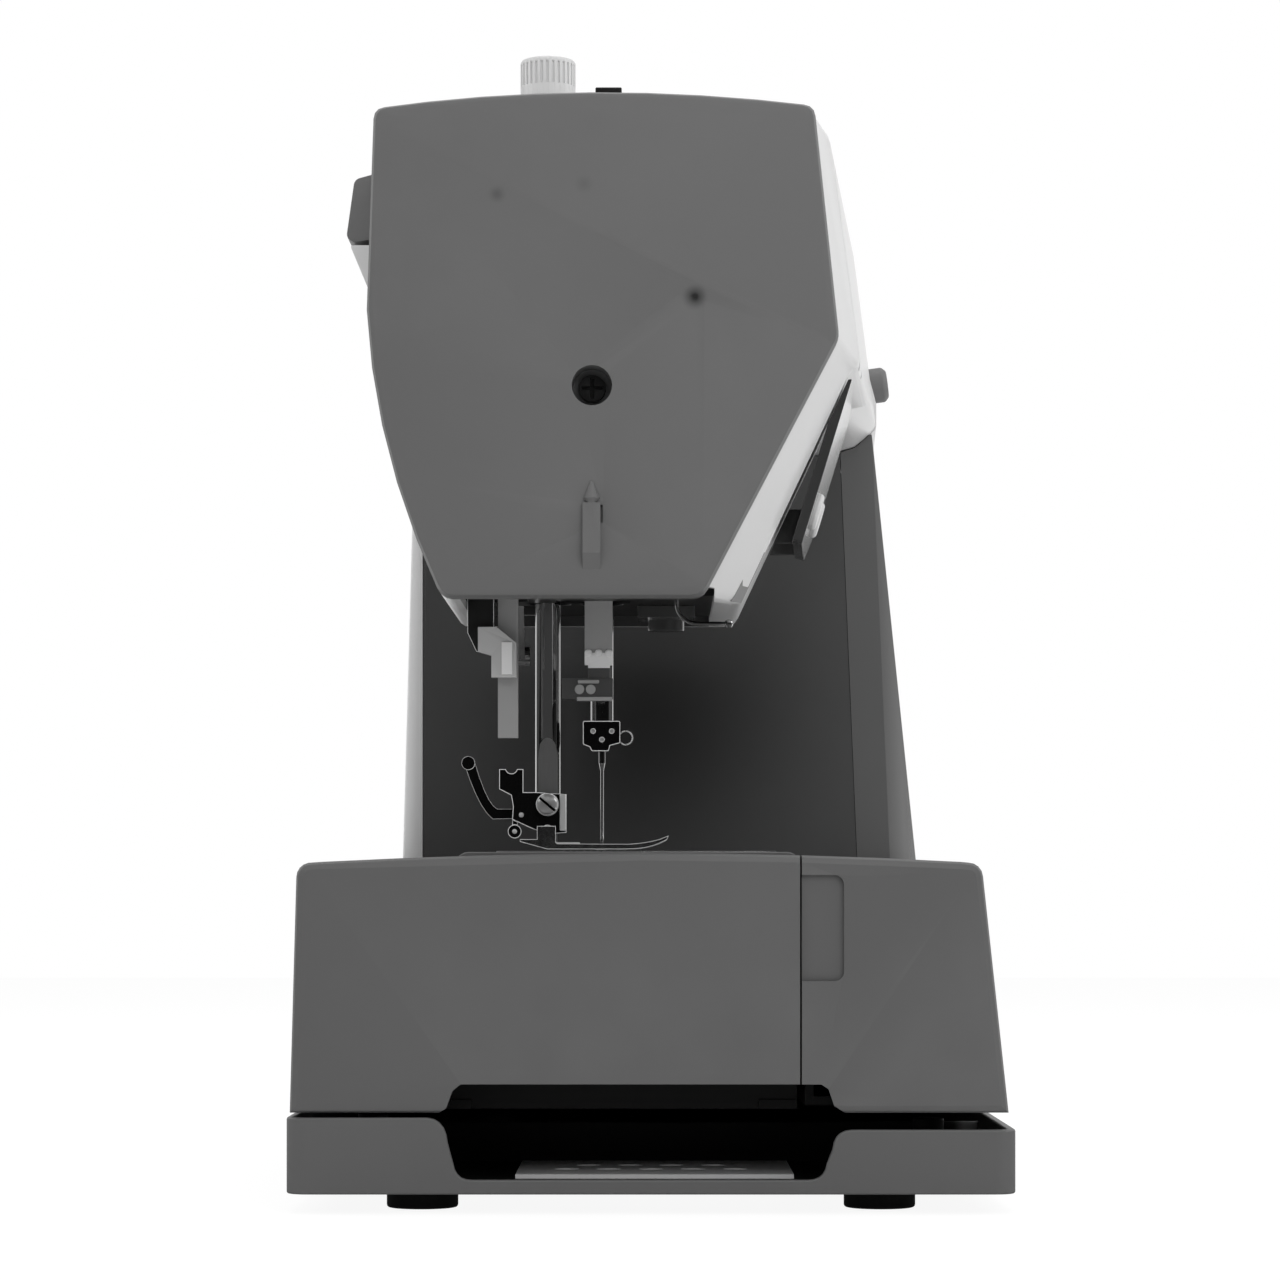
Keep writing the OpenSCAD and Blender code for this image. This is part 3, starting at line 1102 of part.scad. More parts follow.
module tray_lid() color("#646464") difference() {
    union() {
        intersection() {
            difference() {
                tray_form(0);
                along_x(x_left + wall, x_pillar) tray_outline(wall);
                block(x_left + wall, x_pillar, 5 - y_half, y_seam + 1, z_tray - 1, z_tray + wall + 1);
            }
            union() {
                block(x_left - 1, x_left + tray_end - 1, -y_half - 5, y_seam - 0.5, z_tray - 1, bed_z + 1);
                block(x_left - 1, x_pillar, -y_half - 5, box_y1 - 0.2, z_tray - 1, bed_z + 1);
            }
        }
        // thicker wall behind the finger recess
        block(x_left + 1, x_left + wall + 0.4, y_seam - recess_w - 4, y_seam - 0.5, z_tray + 20, z_tray_top - 3);
        // hinge knuckles
        for (x = [x_left + 12, tray_x1 - 24], e = [0.3, 8.3]) difference() {
            union() {
                rod_x(x + e, x + e + 3.4, lid_hinge_y, lid_hinge_z, 6);
                block(x + e, x + e + 3.4, lid_hinge_y - 3.4, lid_hinge_y, lid_hinge_z - 2, lid_hinge_z + 3);
            }
            rod_x(x - 1, x + 20, lid_hinge_y, lid_hinge_z, 3 + 2 * run_gap);
        }
    }
    // finger recess
    along_x(x_left - 1, x_left + 1.6) translate([y_seam - recess_w - 0.5, z_tray_top - 6 - recess_h])
        soft(2.6) square([recess_w + 8, recess_h]);
    // raised lower edge
    along_x(x_left - 1, x_left + wall + 1) polygon([[-30, z_tray - 1], [-30, z_tray + 7.8], [-46.5, z_tray + 7.8],
        [-48.5, z_tray + 6.5], [-50, z_tray + 2], [-53, z_tray], [-54, z_tray - 1]]);
}

// ---- Right side ----

module power_switch() color("#181818") {
    block(x_right - 5, x_right + 0.6, y_power - 10, y_power + 10, 55, 65);
    // pivot of the rocker
    rod_z(x_right - 5, y_power, 55.5, 64.5, 5);
}
module power_inlet() color("#181818") difference() {
    block(x_right - 7, x_right + 0.4, y_power - 14.5, y_power + 14.5, 34.5, 49.5);
    block(x_right - 5, x_right + 1, y_power - 11, y_power + 11, 37, 47);
}

base_pan();
rubber_feet();
bottom_plate();
bed_housing();
free_arm_shell();
needle_plate();
bobbin_cover();
front_cover();
rear_cover();
face_cover();
front_panel();
throat_panel();
button_panel();
display_window();
thread_cutter();
face_screw();
head_plate();
led_lamp();
thread_guide();
top_guide();
spool_pin();
bed_frame();
arm_frame();
shaft_bushes();
timing_belt();
motor_belt();
drive_motor();
control_board();
power_inlet();
handle_pins();
buttonhole_bracket();
accessory_tray();
tray_lid();
handwheel();
main_shaft();
lower_shaft();
motor_pulley();
rotary_hook();
bobbin_case();
bobbin();
feed_dog();
needle_bar();
needle_clamp();
needle();
threader();
presser_bar();
presser_spring();
presser_ankle();
presser_foot();
release_lever();
lifter_lever();
buttonhole_lever();
take_up_lever();
pressure_dial();
tension_dial();
carry_handle();
start_button();
reverse_button();
stitch_dial();
power_switch();
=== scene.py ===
import bpy
import bmesh
import json
import math
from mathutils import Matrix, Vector


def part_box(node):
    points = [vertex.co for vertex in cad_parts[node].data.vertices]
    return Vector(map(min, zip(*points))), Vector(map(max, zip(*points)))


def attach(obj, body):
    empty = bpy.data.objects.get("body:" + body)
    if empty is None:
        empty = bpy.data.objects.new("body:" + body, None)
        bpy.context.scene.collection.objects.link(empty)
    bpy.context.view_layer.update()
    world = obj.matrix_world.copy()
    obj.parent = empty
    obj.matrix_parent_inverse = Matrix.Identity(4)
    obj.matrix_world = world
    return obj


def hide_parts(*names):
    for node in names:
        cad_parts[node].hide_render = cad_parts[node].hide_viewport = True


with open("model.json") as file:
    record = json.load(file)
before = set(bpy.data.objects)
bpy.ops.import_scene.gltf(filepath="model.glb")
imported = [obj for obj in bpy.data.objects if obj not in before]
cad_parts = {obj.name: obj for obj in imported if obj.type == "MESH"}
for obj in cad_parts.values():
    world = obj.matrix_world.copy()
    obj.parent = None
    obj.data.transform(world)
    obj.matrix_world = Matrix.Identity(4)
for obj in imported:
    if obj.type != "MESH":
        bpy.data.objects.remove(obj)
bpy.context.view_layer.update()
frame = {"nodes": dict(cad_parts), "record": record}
nodes = frame["nodes"]
mm = 0.001


def inMetres(*values):
    return tuple(value * mm for value in values)


# the camera looks along the arm at the left end, in metres
view = {
    "distance": 1.05,  # from the left end of the base
    "height": 0.086,
    "lens": 108.2,
    "sensor": 36.0,
    "shiftRight": -0.0086,
    "shiftUp": 0.203,
    "farthest": 20,
}


def makeCamera():
    data = bpy.data.cameras.new("camera")
    data.lens = view["lens"]
    data.sensor_width = view["sensor"]
    data.shift_x = view["shiftRight"]
    data.shift_y = view["shiftUp"]
    data.clip_end = view["farthest"]
    camera = bpy.data.objects.new("camera", data)
    camera.location = (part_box("base_pan")[0].x - view["distance"], 0, view["height"])
    camera.rotation_euler = (math.radians(90), 0, math.radians(-90))
    bpy.context.collection.objects.link(camera)
    bpy.context.scene.camera = camera


lamps = {
    # name: place, what it looks at, width, height, watts, whether polished pieces show it
    "keyLamp": ((-1.7, -0.5, 1.15), (-0.1, 0, 0.15), 1.1, 1.1, 11, False),
    "frontLamp": ((0.1, -1.5, 1.0), (0, 0, 0.2), 1.3, 0.8, 6.5, True),
    "rearLamp": ((0.1, 1.5, 1.0), (0, 0, 0.2), 1.3, 0.8, 6.5, True),
    "topLamp": ((0.1, 0, 1.7), (0, 0, 0.2), 1.2, 1.2, 8, True),
}


def makeLamp(name, place, target, width, height, watts, mirrored):
    data = bpy.data.lights.new(name, "AREA")
    data.shape = "RECTANGLE"
    data.size = width
    data.size_y = height
    data.energy = watts
    lamp = bpy.data.objects.new(name, data)
    lamp.location = place
    lamp.visible_glossy = mirrored
    lamp.rotation_euler = (Vector(target) - Vector(place)).to_track_quat("-Z", "Y").to_euler()
    bpy.context.collection.objects.link(lamp)


def feed(tree, value, socket):
    # a socket takes a fixed value or another node's output
    if isinstance(value, bpy.types.NodeSocket):
        tree.links.new(value, socket)
    else:
        socket.default_value = value


def mathStep(tree, operation, *values):
    step = tree.nodes.new("ShaderNodeMath")
    step.operation = operation
    for place, value in enumerate(values):
        feed(tree, value, step.inputs[place])
    return step.outputs[0]


def mapStep(tree, value, fromLow, fromHigh, toLow=0.0, toHigh=1.0, smooth=False):
    step = tree.nodes.new("ShaderNodeMapRange")
    if smooth:
        step.interpolation_type = "SMOOTHSTEP"
    for label, limit in (("Value", value), ("From Min", fromLow), ("From Max", fromHigh), ("To Min", toLow),
                         ("To Max", toHigh)):
        feed(tree, limit, step.inputs[label])
    return step.outputs[0]


def mixShaders(tree, share, first, second):
    mix = tree.nodes.new("ShaderNodeMixShader")
    for place, value in enumerate((share, first, second)):
        tree.links.new(value, mix.inputs[place])
    return mix.outputs[0]


def mixColours(tree, share, first, second):
    mix = tree.nodes.new("ShaderNodeMix")
    mix.data_type = "RGBA"
    for place, value in zip((0, 6, 7), (share, first, second)):
        feed(tree, value, mix.inputs[place])
    return mix.outputs[2]


def splitAxes(tree, vector):
    parts = tree.nodes.new("ShaderNodeSeparateXYZ")
    tree.links.new(vector, parts.inputs[0])
    return parts.outputs


sky = {
    "seen": 1.0,  # the white room, as the camera sees it
    "fill": 0.42,  # what reaches the surfaces
    "dark": 0.006,  # the unlit end of the room, which the polished metal shows
    "turns": (0.42, 0.78),  # from dark to white between these shares of the X axis
    "above": 0.5,  # how white the ceiling is, and where it starts and ends upwards
    "ceiling": (0.25, 0.75),
    "beside": 0.12,  # how white the side walls are, and where they start and end sideways
    "walls": (0.93, 0.99),
}


def makeSky():
    world = bpy.data.worlds.new("room")
    bpy.context.scene.world = world
    world.use_nodes = True
    tree = world.node_tree
    tree.nodes.clear()
    coords = tree.nodes.new("ShaderNodeTexCoord")
    axes = splitAxes(tree, coords.outputs["Generated"])
    room = mapStep(tree, axes["X"], *sky["turns"], sky["dark"], sky["seen"])
    ceiling = mapStep(tree, axes["Z"], *sky["ceiling"], 0.0, sky["above"])
    walls = mapStep(tree, mathStep(tree, "ABSOLUTE", axes["Y"]), *sky["walls"], 0.0, sky["beside"])
    for part in (ceiling, walls):
        room = mathStep(tree, "MAXIMUM", room, part)
    light = {}
    for name, strength in (("mirrored", room), ("fill", sky["fill"]), ("seen", sky["seen"])):
        light[name] = tree.nodes.new("ShaderNodeBackground")
        light[name].inputs["Color"].default_value = (1, 1, 1, 1)
        feed(tree, strength, light[name].inputs["Strength"])
    path = tree.nodes.new("ShaderNodeLightPath").outputs
    lit = mixShaders(tree, path["Is Glossy Ray"], light["fill"].outputs[0], light["mirrored"].outputs[0])
    straight = mathStep(tree, "MAXIMUM", path["Is Camera Ray"], path["Is Transmission Ray"])
    last = mixShaders(tree, straight, lit, light["seen"].outputs[0])
    tree.links.new(last, tree.nodes.new("ShaderNodeOutputWorld").inputs[0])


table = {
    "reach": 3.0,
    "paper": 0.95,
    "glow": 1.07,  # white enough to meet the sky
    "glowShare": 0.86,  # the rest is paper, which takes the shadows
    "turns": (-0.2, 0.3),  # in reflections it turns from dark to lit between these places along X
    "lowest": 0.04,
    "unlit": 0.03,
}


def makeFloor():
    reach = table["reach"]
    mesh = bpy.data.meshes.new("floor")
    mesh.from_pydata([(-reach, -reach, 0), (reach, -reach, 0), (reach, reach, 0), (-reach, reach, 0)], [],
                     [(0, 1, 2, 3)])
    floor = bpy.data.objects.new("floor", mesh)
    bpy.context.collection.objects.link(floor)
    material = bpy.data.materials.new("paperFloor")
    material.use_nodes = True
    tree = material.node_tree
    tree.nodes.clear()
    paper = tree.nodes.new("ShaderNodeBsdfDiffuse")
    paper.inputs["Color"].default_value = (table["paper"], table["paper"], table["paper"], 1)
    glow, unlit = (tree.nodes.new("ShaderNodeEmission") for light in range(2))
    glow.inputs["Strength"].default_value = table["glow"]
    unlit.inputs["Strength"].default_value = table["unlit"]
    path = tree.nodes.new("ShaderNodeLightPath").outputs
    share = mathStep(tree, "MULTIPLY", path["Is Camera Ray"], table["glowShare"])
    lit = mixShaders(tree, share, paper.outputs[0], glow.outputs[0])
    # polished metal sees the unlit end of the room in the floor too
    coords = tree.nodes.new("ShaderNodeTexCoord")
    along = splitAxes(tree, coords.outputs["Object"])["X"]
    turn = mapStep(tree, along, *table["turns"], table["lowest"])
    mirrored = mixShaders(tree, turn, unlit.outputs[0], glow.outputs[0])
    last = mixShaders(tree, path["Is Glossy Ray"], lit, mirrored)
    tree.links.new(last, tree.nodes.new("ShaderNodeOutputMaterial").inputs[0])
    mesh.materials.append(material)


makeCamera()
makeSky()
makeFloor()
for name, values in lamps.items():
    makeLamp(name, *values)
print("view, floor and lamps are set")


def startGroup(name, inputs, outputs):
    # a surface effect that several materials share
    group = bpy.data.node_groups.new(name, "ShaderNodeTree")
    for label, kind, value in inputs:
        socket = group.interface.new_socket(label, in_out="INPUT", socket_type=kind)
        socket.default_value = value
    for label, kind in outputs:
        group.interface.new_socket(label, in_out="OUTPUT", socket_type=kind)
    return group, group.nodes.new("NodeGroupInput").outputs, group.nodes.new("NodeGroupOutput").inputs


def objectCoords(group):
    return group.nodes.new("ShaderNodeTexCoord").outputs["Object"]


def addNoise(group, vector, scale, detail):
    noise = group.nodes.new("ShaderNodeTexNoise")
    noise.inputs["Detail"].default_value = detail
    feed(group, scale, noise.inputs["Scale"])
    group.links.new(vector, noise.inputs["Vector"])
    return noise.outputs[0]


def vectorStep(group, operation, first, second, output=0):
    step = group.nodes.new("ShaderNodeVectorMath")
    step.operation = operation
    group.links.new(first, step.inputs[0])
    group.links.new(second, step.inputs[1])
    return step.outputs[output]


mouldedLook = {
    "grainDetail": 3.0,
    "cloudScale": 9.0,  # wide, faint clouds of colour and gloss, per metre
    "cloudDetail": 4.0,
    "cloudTurns": (0.3, 0.7),
}


def makeMouldedSkin():
    # fine moulding texture: a height for the bump, and small changes of colour and gloss
    group, source, result = startGroup(
        "mouldedSkin",
        [
            ("Color", "NodeSocketColor", (0.5, 0.5, 0.5, 1)),
            ("Grain Scale", "NodeSocketFloat", 900.0),
            ("Mottle", "NodeSocketFloat", 0.04),
            ("Roughness", "NodeSocketFloat", 0.45),
            ("Roughness Change", "NodeSocketFloat", 0.08),
        ],
        [("Color", "NodeSocketColor"), ("Roughness", "NodeSocketFloat"), ("Height", "NodeSocketFloat")],
    )
    link = group.links.new
    coords = objectCoords(group)
    grain = addNoise(group, coords, source["Grain Scale"], mouldedLook["grainDetail"])
    cloud = addNoise(group, coords, mouldedLook["cloudScale"], mouldedLook["cloudDetail"])
    low = mathStep(group, "SUBTRACT", 1.0, source["Mottle"])
    high = mathStep(group, "ADD", 1.0, source["Mottle"])
    tint = group.nodes.new("ShaderNodeVectorMath")
    tint.operation = "SCALE"
    link(source["Color"], tint.inputs[0])
    link(mapStep(group, cloud, *mouldedLook["cloudTurns"], low, high), tint.inputs["Scale"])
    link(tint.outputs[0], result["Color"])
    link(mathStep(group, "MULTIPLY_ADD", cloud, source["Roughness Change"], source["Roughness"]), result["Roughness"])
    link(grain, result["Height"])
    return group


lineDetail = 2.0


def makeBrushedLines():
    # drawn or ground metal: fine lines along one axis
    group, source, result = startGroup(
        "brushedLines",
        [
            ("Stretch", "NodeSocketVector", (1.0, 1.0, 1.0)),
            ("Scale", "NodeSocketFloat", 600.0),
            ("Roughness", "NodeSocketFloat", 0.25),
            ("Change", "NodeSocketFloat", 0.12),
        ],
        [("Roughness", "NodeSocketFloat"), ("Height", "NodeSocketFloat")],
    )
    link = group.links.new
    drawn = vectorStep(group, "MULTIPLY", objectCoords(group), source["Stretch"])
    lines = addNoise(group, drawn, source["Scale"], lineDetail)
    link(mathStep(group, "MULTIPLY_ADD", lines, source["Change"], source["Roughness"]), result["Roughness"])
    link(lines, result["Height"])
    return group


wearLook = {
    "edge": (0.52, 0.62),  # how pointed a place is where wear starts, and where it is full
    "patchScale": 60.0,
    "patchDetail": 2.0,
}


def makeEdgeWear():
    # a mask of the edges that hands rub
    group, source, result = startGroup(
        "edgeWear",
        [("Amount", "NodeSocketFloat", 0.3)],
        [("Mask", "NodeSocketFloat")],
    )
    shape = group.nodes.new("ShaderNodeNewGeometry")
    edge = mapStep(group, shape.outputs["Pointiness"], *wearLook["edge"])
    patches = addNoise(group, objectCoords(group), wearLook["patchScale"], wearLook["patchDetail"])
    worn = mathStep(group, "MULTIPLY", mathStep(group, "MULTIPLY", edge, patches), source["Amount"])
    group.links.new(worn, result["Mask"])
    return group


def makeInsideShade():
    # a mask of what lies inside a box, soft at its sides
    group, source, result = startGroup(
        "insideShade",
        [
            ("Low", "NodeSocketVector", (0, 0, 0)),
            ("High", "NodeSocketVector", (0, 0, 0)),
            ("Soft", "NodeSocketFloat", 0.004),
        ],
        [("Mask", "NodeSocketFloat")],
    )
    coords = objectCoords(group)
    above = splitAxes(group, vectorStep(group, "SUBTRACT", coords, source["Low"]))
    below = splitAxes(group, vectorStep(group, "SUBTRACT", source["High"], coords))
    least, *depths = [*above[:3], *below[:3]]
    for depth in depths:
        least = mathStep(group, "MINIMUM", least, depth)
    share = mathStep(group, "DIVIDE", least, source["Soft"])
    share.node.use_clamp = True
    group.links.new(share, result["Mask"])
    return group


def makeSoftSpot():
    # a round mask that fades towards its edge, for spots of painted shade
    group, source, result = startGroup(
        "softShadeSpot",
        [
            ("Centre", "NodeSocketVector", (0, 0, 0)),
            ("Radius", "NodeSocketFloat", 0.003),
            ("Amount", "NodeSocketFloat", 0.5),
        ],
        [("Mask", "NodeSocketFloat")],
    )
    gap = vectorStep(group, "DISTANCE", objectCoords(group), source["Centre"], "Value")
    group.links.new(mapStep(group, gap, 0.0, source["Radius"], source["Amount"], 0.0, smooth=True), result["Mask"])
    return group


mouldedSkin = makeMouldedSkin()
softShadeSpot = makeSoftSpot()
brushedLines = makeBrushedLines()
edgeWear = makeEdgeWear()
insideShade = makeInsideShade()

# rooms that are darker than the rest of the pieces which line them, in metres: painted shade in hollows, and the edge
# of a painted sheen
shadeAndSheenRooms = {
    # painted shade under the free arm, and inside the base and the tray
    "base": {"low": (-0.2015, -0.093, 0.0025), "high": (0.4, 0.096, 0.094), "level": 0.012, "soft": 0.003},
    # the black front of the pillar, behind the painted sheen of its slanted corner
    "pillar": {"low": (0.068, -0.12, 0.05), "high": (0.3, 0.12, 0.3), "level": 0.03, "soft": 0.009},
}


def startMaterial(name):
    material = bpy.data.materials.new(name)
    material.use_nodes = True
    tree = material.node_tree
    tree.nodes.clear()
    shader = tree.nodes.new("ShaderNodeBsdfPrincipled")
    output = tree.nodes.new("ShaderNodeOutputMaterial")
    tree.links.new(shader.outputs[0], output.inputs[0])
    return material, tree, shader.inputs


def placeGroup(tree, group, **values):
    node = tree.nodes.new("ShaderNodeGroup")
    node.node_tree = group
    for label, value in values.items():
        node.inputs[label.replace("_", " ")].default_value = value
    return node.outputs


def addBump(tree, shader, height, distance, strength):
    bump = tree.nodes.new("ShaderNodeBump")
    bump.inputs["Strength"].default_value = strength
    bump.inputs["Distance"].default_value = distance
    tree.links.new(height, bump.inputs["Height"])
    tree.links.new(bump.outputs[0], shader["Normal"])


def grey(level):
    return (level, level, level, 1)


plasticLook = {
    "grainDepth": 0.00005,
    "coatRoughness": 0.08,
    "paler": (1.6, 0.02),  # how much lighter worn edges are: times, and plus
    "shadeSpotLevel": 0.004,
}


def mouldedPlastic(name, level, roughness, grainScale=900.0, grain=0.25, mottle=0.03, wear=0.25, coat=0.0, gloss=0.45,
                   room=None, spots=()):
    material, tree, shader = startMaterial(name)
    skin = placeGroup(tree, mouldedSkin, Color=grey(level), Grain_Scale=grainScale, Mottle=mottle, Roughness=roughness)
    rub = placeGroup(tree, edgeWear, Amount=wear)
    times, plus = plasticLook["paler"]
    colour = mixColours(tree, rub["Mask"], skin["Color"], grey(min(1.0, level * times + plus)))
    # inside the box the colour turns to its level: painted shade in hollows, and the true black beside a painted sheen
    if room:
        shade = placeGroup(tree, insideShade, Low=room["low"], High=room["high"], Soft=room["soft"])
        colour = mixColours(tree, shade["Mask"], colour, grey(room["level"]))
    # painted shade: soft dark spots darken the colour towards their middle
    for centre, radius, amount in spots:
        spot = placeGroup(tree, softShadeSpot, Centre=inMetres(*centre), Radius=radius * mm, Amount=amount)
        colour = mixColours(tree, spot["Mask"], colour, grey(plasticLook["shadeSpotLevel"]))
    tree.links.new(colour, shader["Base Color"])
    tree.links.new(skin["Roughness"], shader["Roughness"])
    addBump(tree, shader, skin["Height"], plasticLook["grainDepth"], grain)
    shader["Specular IOR Level"].default_value = gloss
    shader["Coat Weight"].default_value = coat
    shader["Coat Roughness"].default_value = plasticLook["coatRoughness"]
    return material


metalLook = {"lineDepth": 0.00002}


def metal(name, level, roughness, stretch=(1, 1, 1), scale=600.0, change=0.12, bump=0.15, warm=0.0, metallic=1.0):
    material, tree, shader = startMaterial(name)
    lines = placeGroup(tree, brushedLines, Stretch=stretch, Scale=scale, Roughness=roughness, Change=change)
    shader["Base Color"].default_value = (level * (1 + warm), level, level * (1 - warm), 1)
    shader["Metallic"].default_value = metallic
    tree.links.new(lines["Roughness"], shader["Roughness"])
    addBump(tree, shader, lines["Height"], metalLook["lineDepth"], bump)
    return material


clearLook = {
    "level": 0.9,
    "roughness": 0.08,
    "through": 0.9,
    "bending": 1.49,
    "grainScale": 400.0,
    "grainDepth": 0.00003,
    "grain": 0.1,
}


def clearPlastic(name):
    material, tree, shader = startMaterial(name)
    skin = placeGroup(tree, mouldedSkin, Grain_Scale=clearLook["grainScale"], Roughness=clearLook["roughness"])
    shader["Base Color"].default_value = grey(clearLook["level"])
    shader["Transmission Weight"].default_value = clearLook["through"]
    shader["IOR"].default_value = clearLook["bending"]
    tree.links.new(skin["Roughness"], shader["Roughness"])
    addBump(tree, shader, skin["Height"], clearLook["grainDepth"], clearLook["grain"])
    return material


# soft dark marks of painted shade in shallow dips of the face: place and radius in mm, and how strong
faceDimpleShade = (
    ((-174.0, -12.3, 255.3), 4.2, 0.75),  # painted shade of the gate mark's dimple, and of its middle
    ((-174.0, -12.3, 255.3), 1.7, 0.75),
    ((-174.0, 43.2, 284.1), 3.0, 0.3),  # painted shade of two faint sink marks
    ((-174.0, 18.8, 287.0), 3.2, 0.16),
)
wallShade = (((51.0, 2.0, 150.0), 78.0, 0.72),)  # painted shade: the wall of the opening is darkest in its middle

# name: how light, how rough, and what differs from the usual
plastics = {
    "faceGrey": (0.15, 0.42, {"wear": 0.15, "spots": faceDimpleShade}),
    "trayGrey": (0.125, 0.42, {"wear": 0.2, "room": shadeAndSheenRooms["base"]}),
    "baseGrey": (0.125, 0.46, {"room": shadeAndSheenRooms["base"]}),
    "coverWhite": (0.7, 0.25, {"grain": 0.06, "mottle": 0.01, "wear": 0.05, "coat": 0.1, "gloss": 0.35}),
    "pillarBlack": (0.032, 0.17, {"grain": 0.03, "mottle": 0.04, "wear": 0.05, "coat": 0.6}),
    # painted light and shade: the opening's wall is lighter than the other black panels, as a sheen, and darkened
    # towards its middle
    "wallSheenBlack": (0.085, 0.17, {"grain": 0.03, "mottle": 0.04, "wear": 0.05, "coat": 0.3, "spots": wallShade}),
    # painted sheen: the pillar's slanted corner is lighter than its black front, standing in for a reflection
    "cornerSheenBlack": (0.1, 0.2, {"grain": 0.03, "mottle": 0.04, "wear": 0.05, "coat": 0.5, "room": shadeAndSheenRooms["pillar"]}),
    "trimBlack": (0.012, 0.3, {"grain": 0.12, "wear": 0.35}),
    "panelGrey": (0.045, 0.16, {"grain": 0.05, "wear": 0.1, "coat": 0.5}),
    "castDark": (0.03, 0.5, {"grainScale": 300.0, "grain": 0.6, "wear": 0.4}),
    "noseRough": (0.22, 0.6, {"grainScale": 700.0, "grain": 0.9, "mottle": 0.25, "wear": 0.4}),
    "hookGrey": (0.075, 0.35, {"grain": 0.1, "wear": 0.3}),
    "paleTab": (0.85, 0.4, {"grain": 0.1, "mottle": 0.05, "wear": 0.2}),
    "handleGrey": (0.165, 0.5, {"grain": 0.3, "wear": 0.3}),
    "dialPale": (0.7, 0.38, {"grain": 0.1, "wear": 0.2}),
    "leverPale": (0.34, 0.4, {"grain": 0.1, "mottle": 0.04}),
    "rubberBlack": (0.014, 0.75, {"grainScale": 1500.0, "grain": 0.5, "wear": 0.1}),
    "boardGreen": (0.05, 0.4, {}),
    "lampGlass": (0.05, 0.12, {"grain": 0.02, "coat": 0.5}),
    "blackChrome": (0.004, 0.2, {"grain": 0.02, "mottle": 0.05, "wear": 0.0, "gloss": 0.3}),
    # painted light: the half-lit band behind the front of the buttonhole lever's tab
    "tabHalfLit": (0.52, 0.4, {"grain": 0.1, "mottle": 0.04, "wear": 0.2}),
}
metals = {
    "barGround": (0.3, 0.42, {"stretch": (1, 1, 0.2), "scale": 900.0, "change": 0.25, "bump": 0.4, "metallic": 0.7}),
    "castAlloy": (0.5, 0.42, {"scale": 250.0, "change": 0.2, "bump": 0.5}),
    "chromeBar": (0.5, 0.06, {"stretch": (1, 1, 0.05), "change": 0.1, "bump": 0.05}),
    "polishedSteel": (0.68, 0.1, {"bump": 0.06}),
    "brushedPlate": (0.62, 0.22, {"stretch": (0.04, 1, 1), "change": 0.2, "bump": 0.2}),
    "bushBronze": (0.42, 0.35, {"warm": 0.3}),
    # painted highlight: a pale finish, not metallic, for the lit rims of dark pieces
    "rimHighlight": (0.95, 0.45, {"scale": 300.0, "change": 0.3, "bump": 0.2, "metallic": 0.0}),
    "screwSteel": (0.55, 0.22, {"change": 0.2, "bump": 0.1, "metallic": 0.7}),
    # partly painted: the bottom plate is pale steel, made whiter still to stand in for the light it reflects
    "sheenPalePlate": (0.93, 0.3, {"stretch": (0.04, 1, 1), "change": 0.15, "bump": 0.1, "metallic": 0.1}),
    "satinSteel": (0.8, 0.38, {"stretch": (1, 1, 0.08), "scale": 500.0, "change": 0.2, "bump": 0.25, "metallic": 0.55}),
}
finishes = {"clearCover": clearPlastic("clearCover")}
for kind, looks in ((mouldedPlastic, plastics), (metal, metals)):
    for name, (level, roughness, changes) in looks.items():
        finishes[name] = kind(name, level, roughness, **changes)
print("materials are made:", len(finishes))

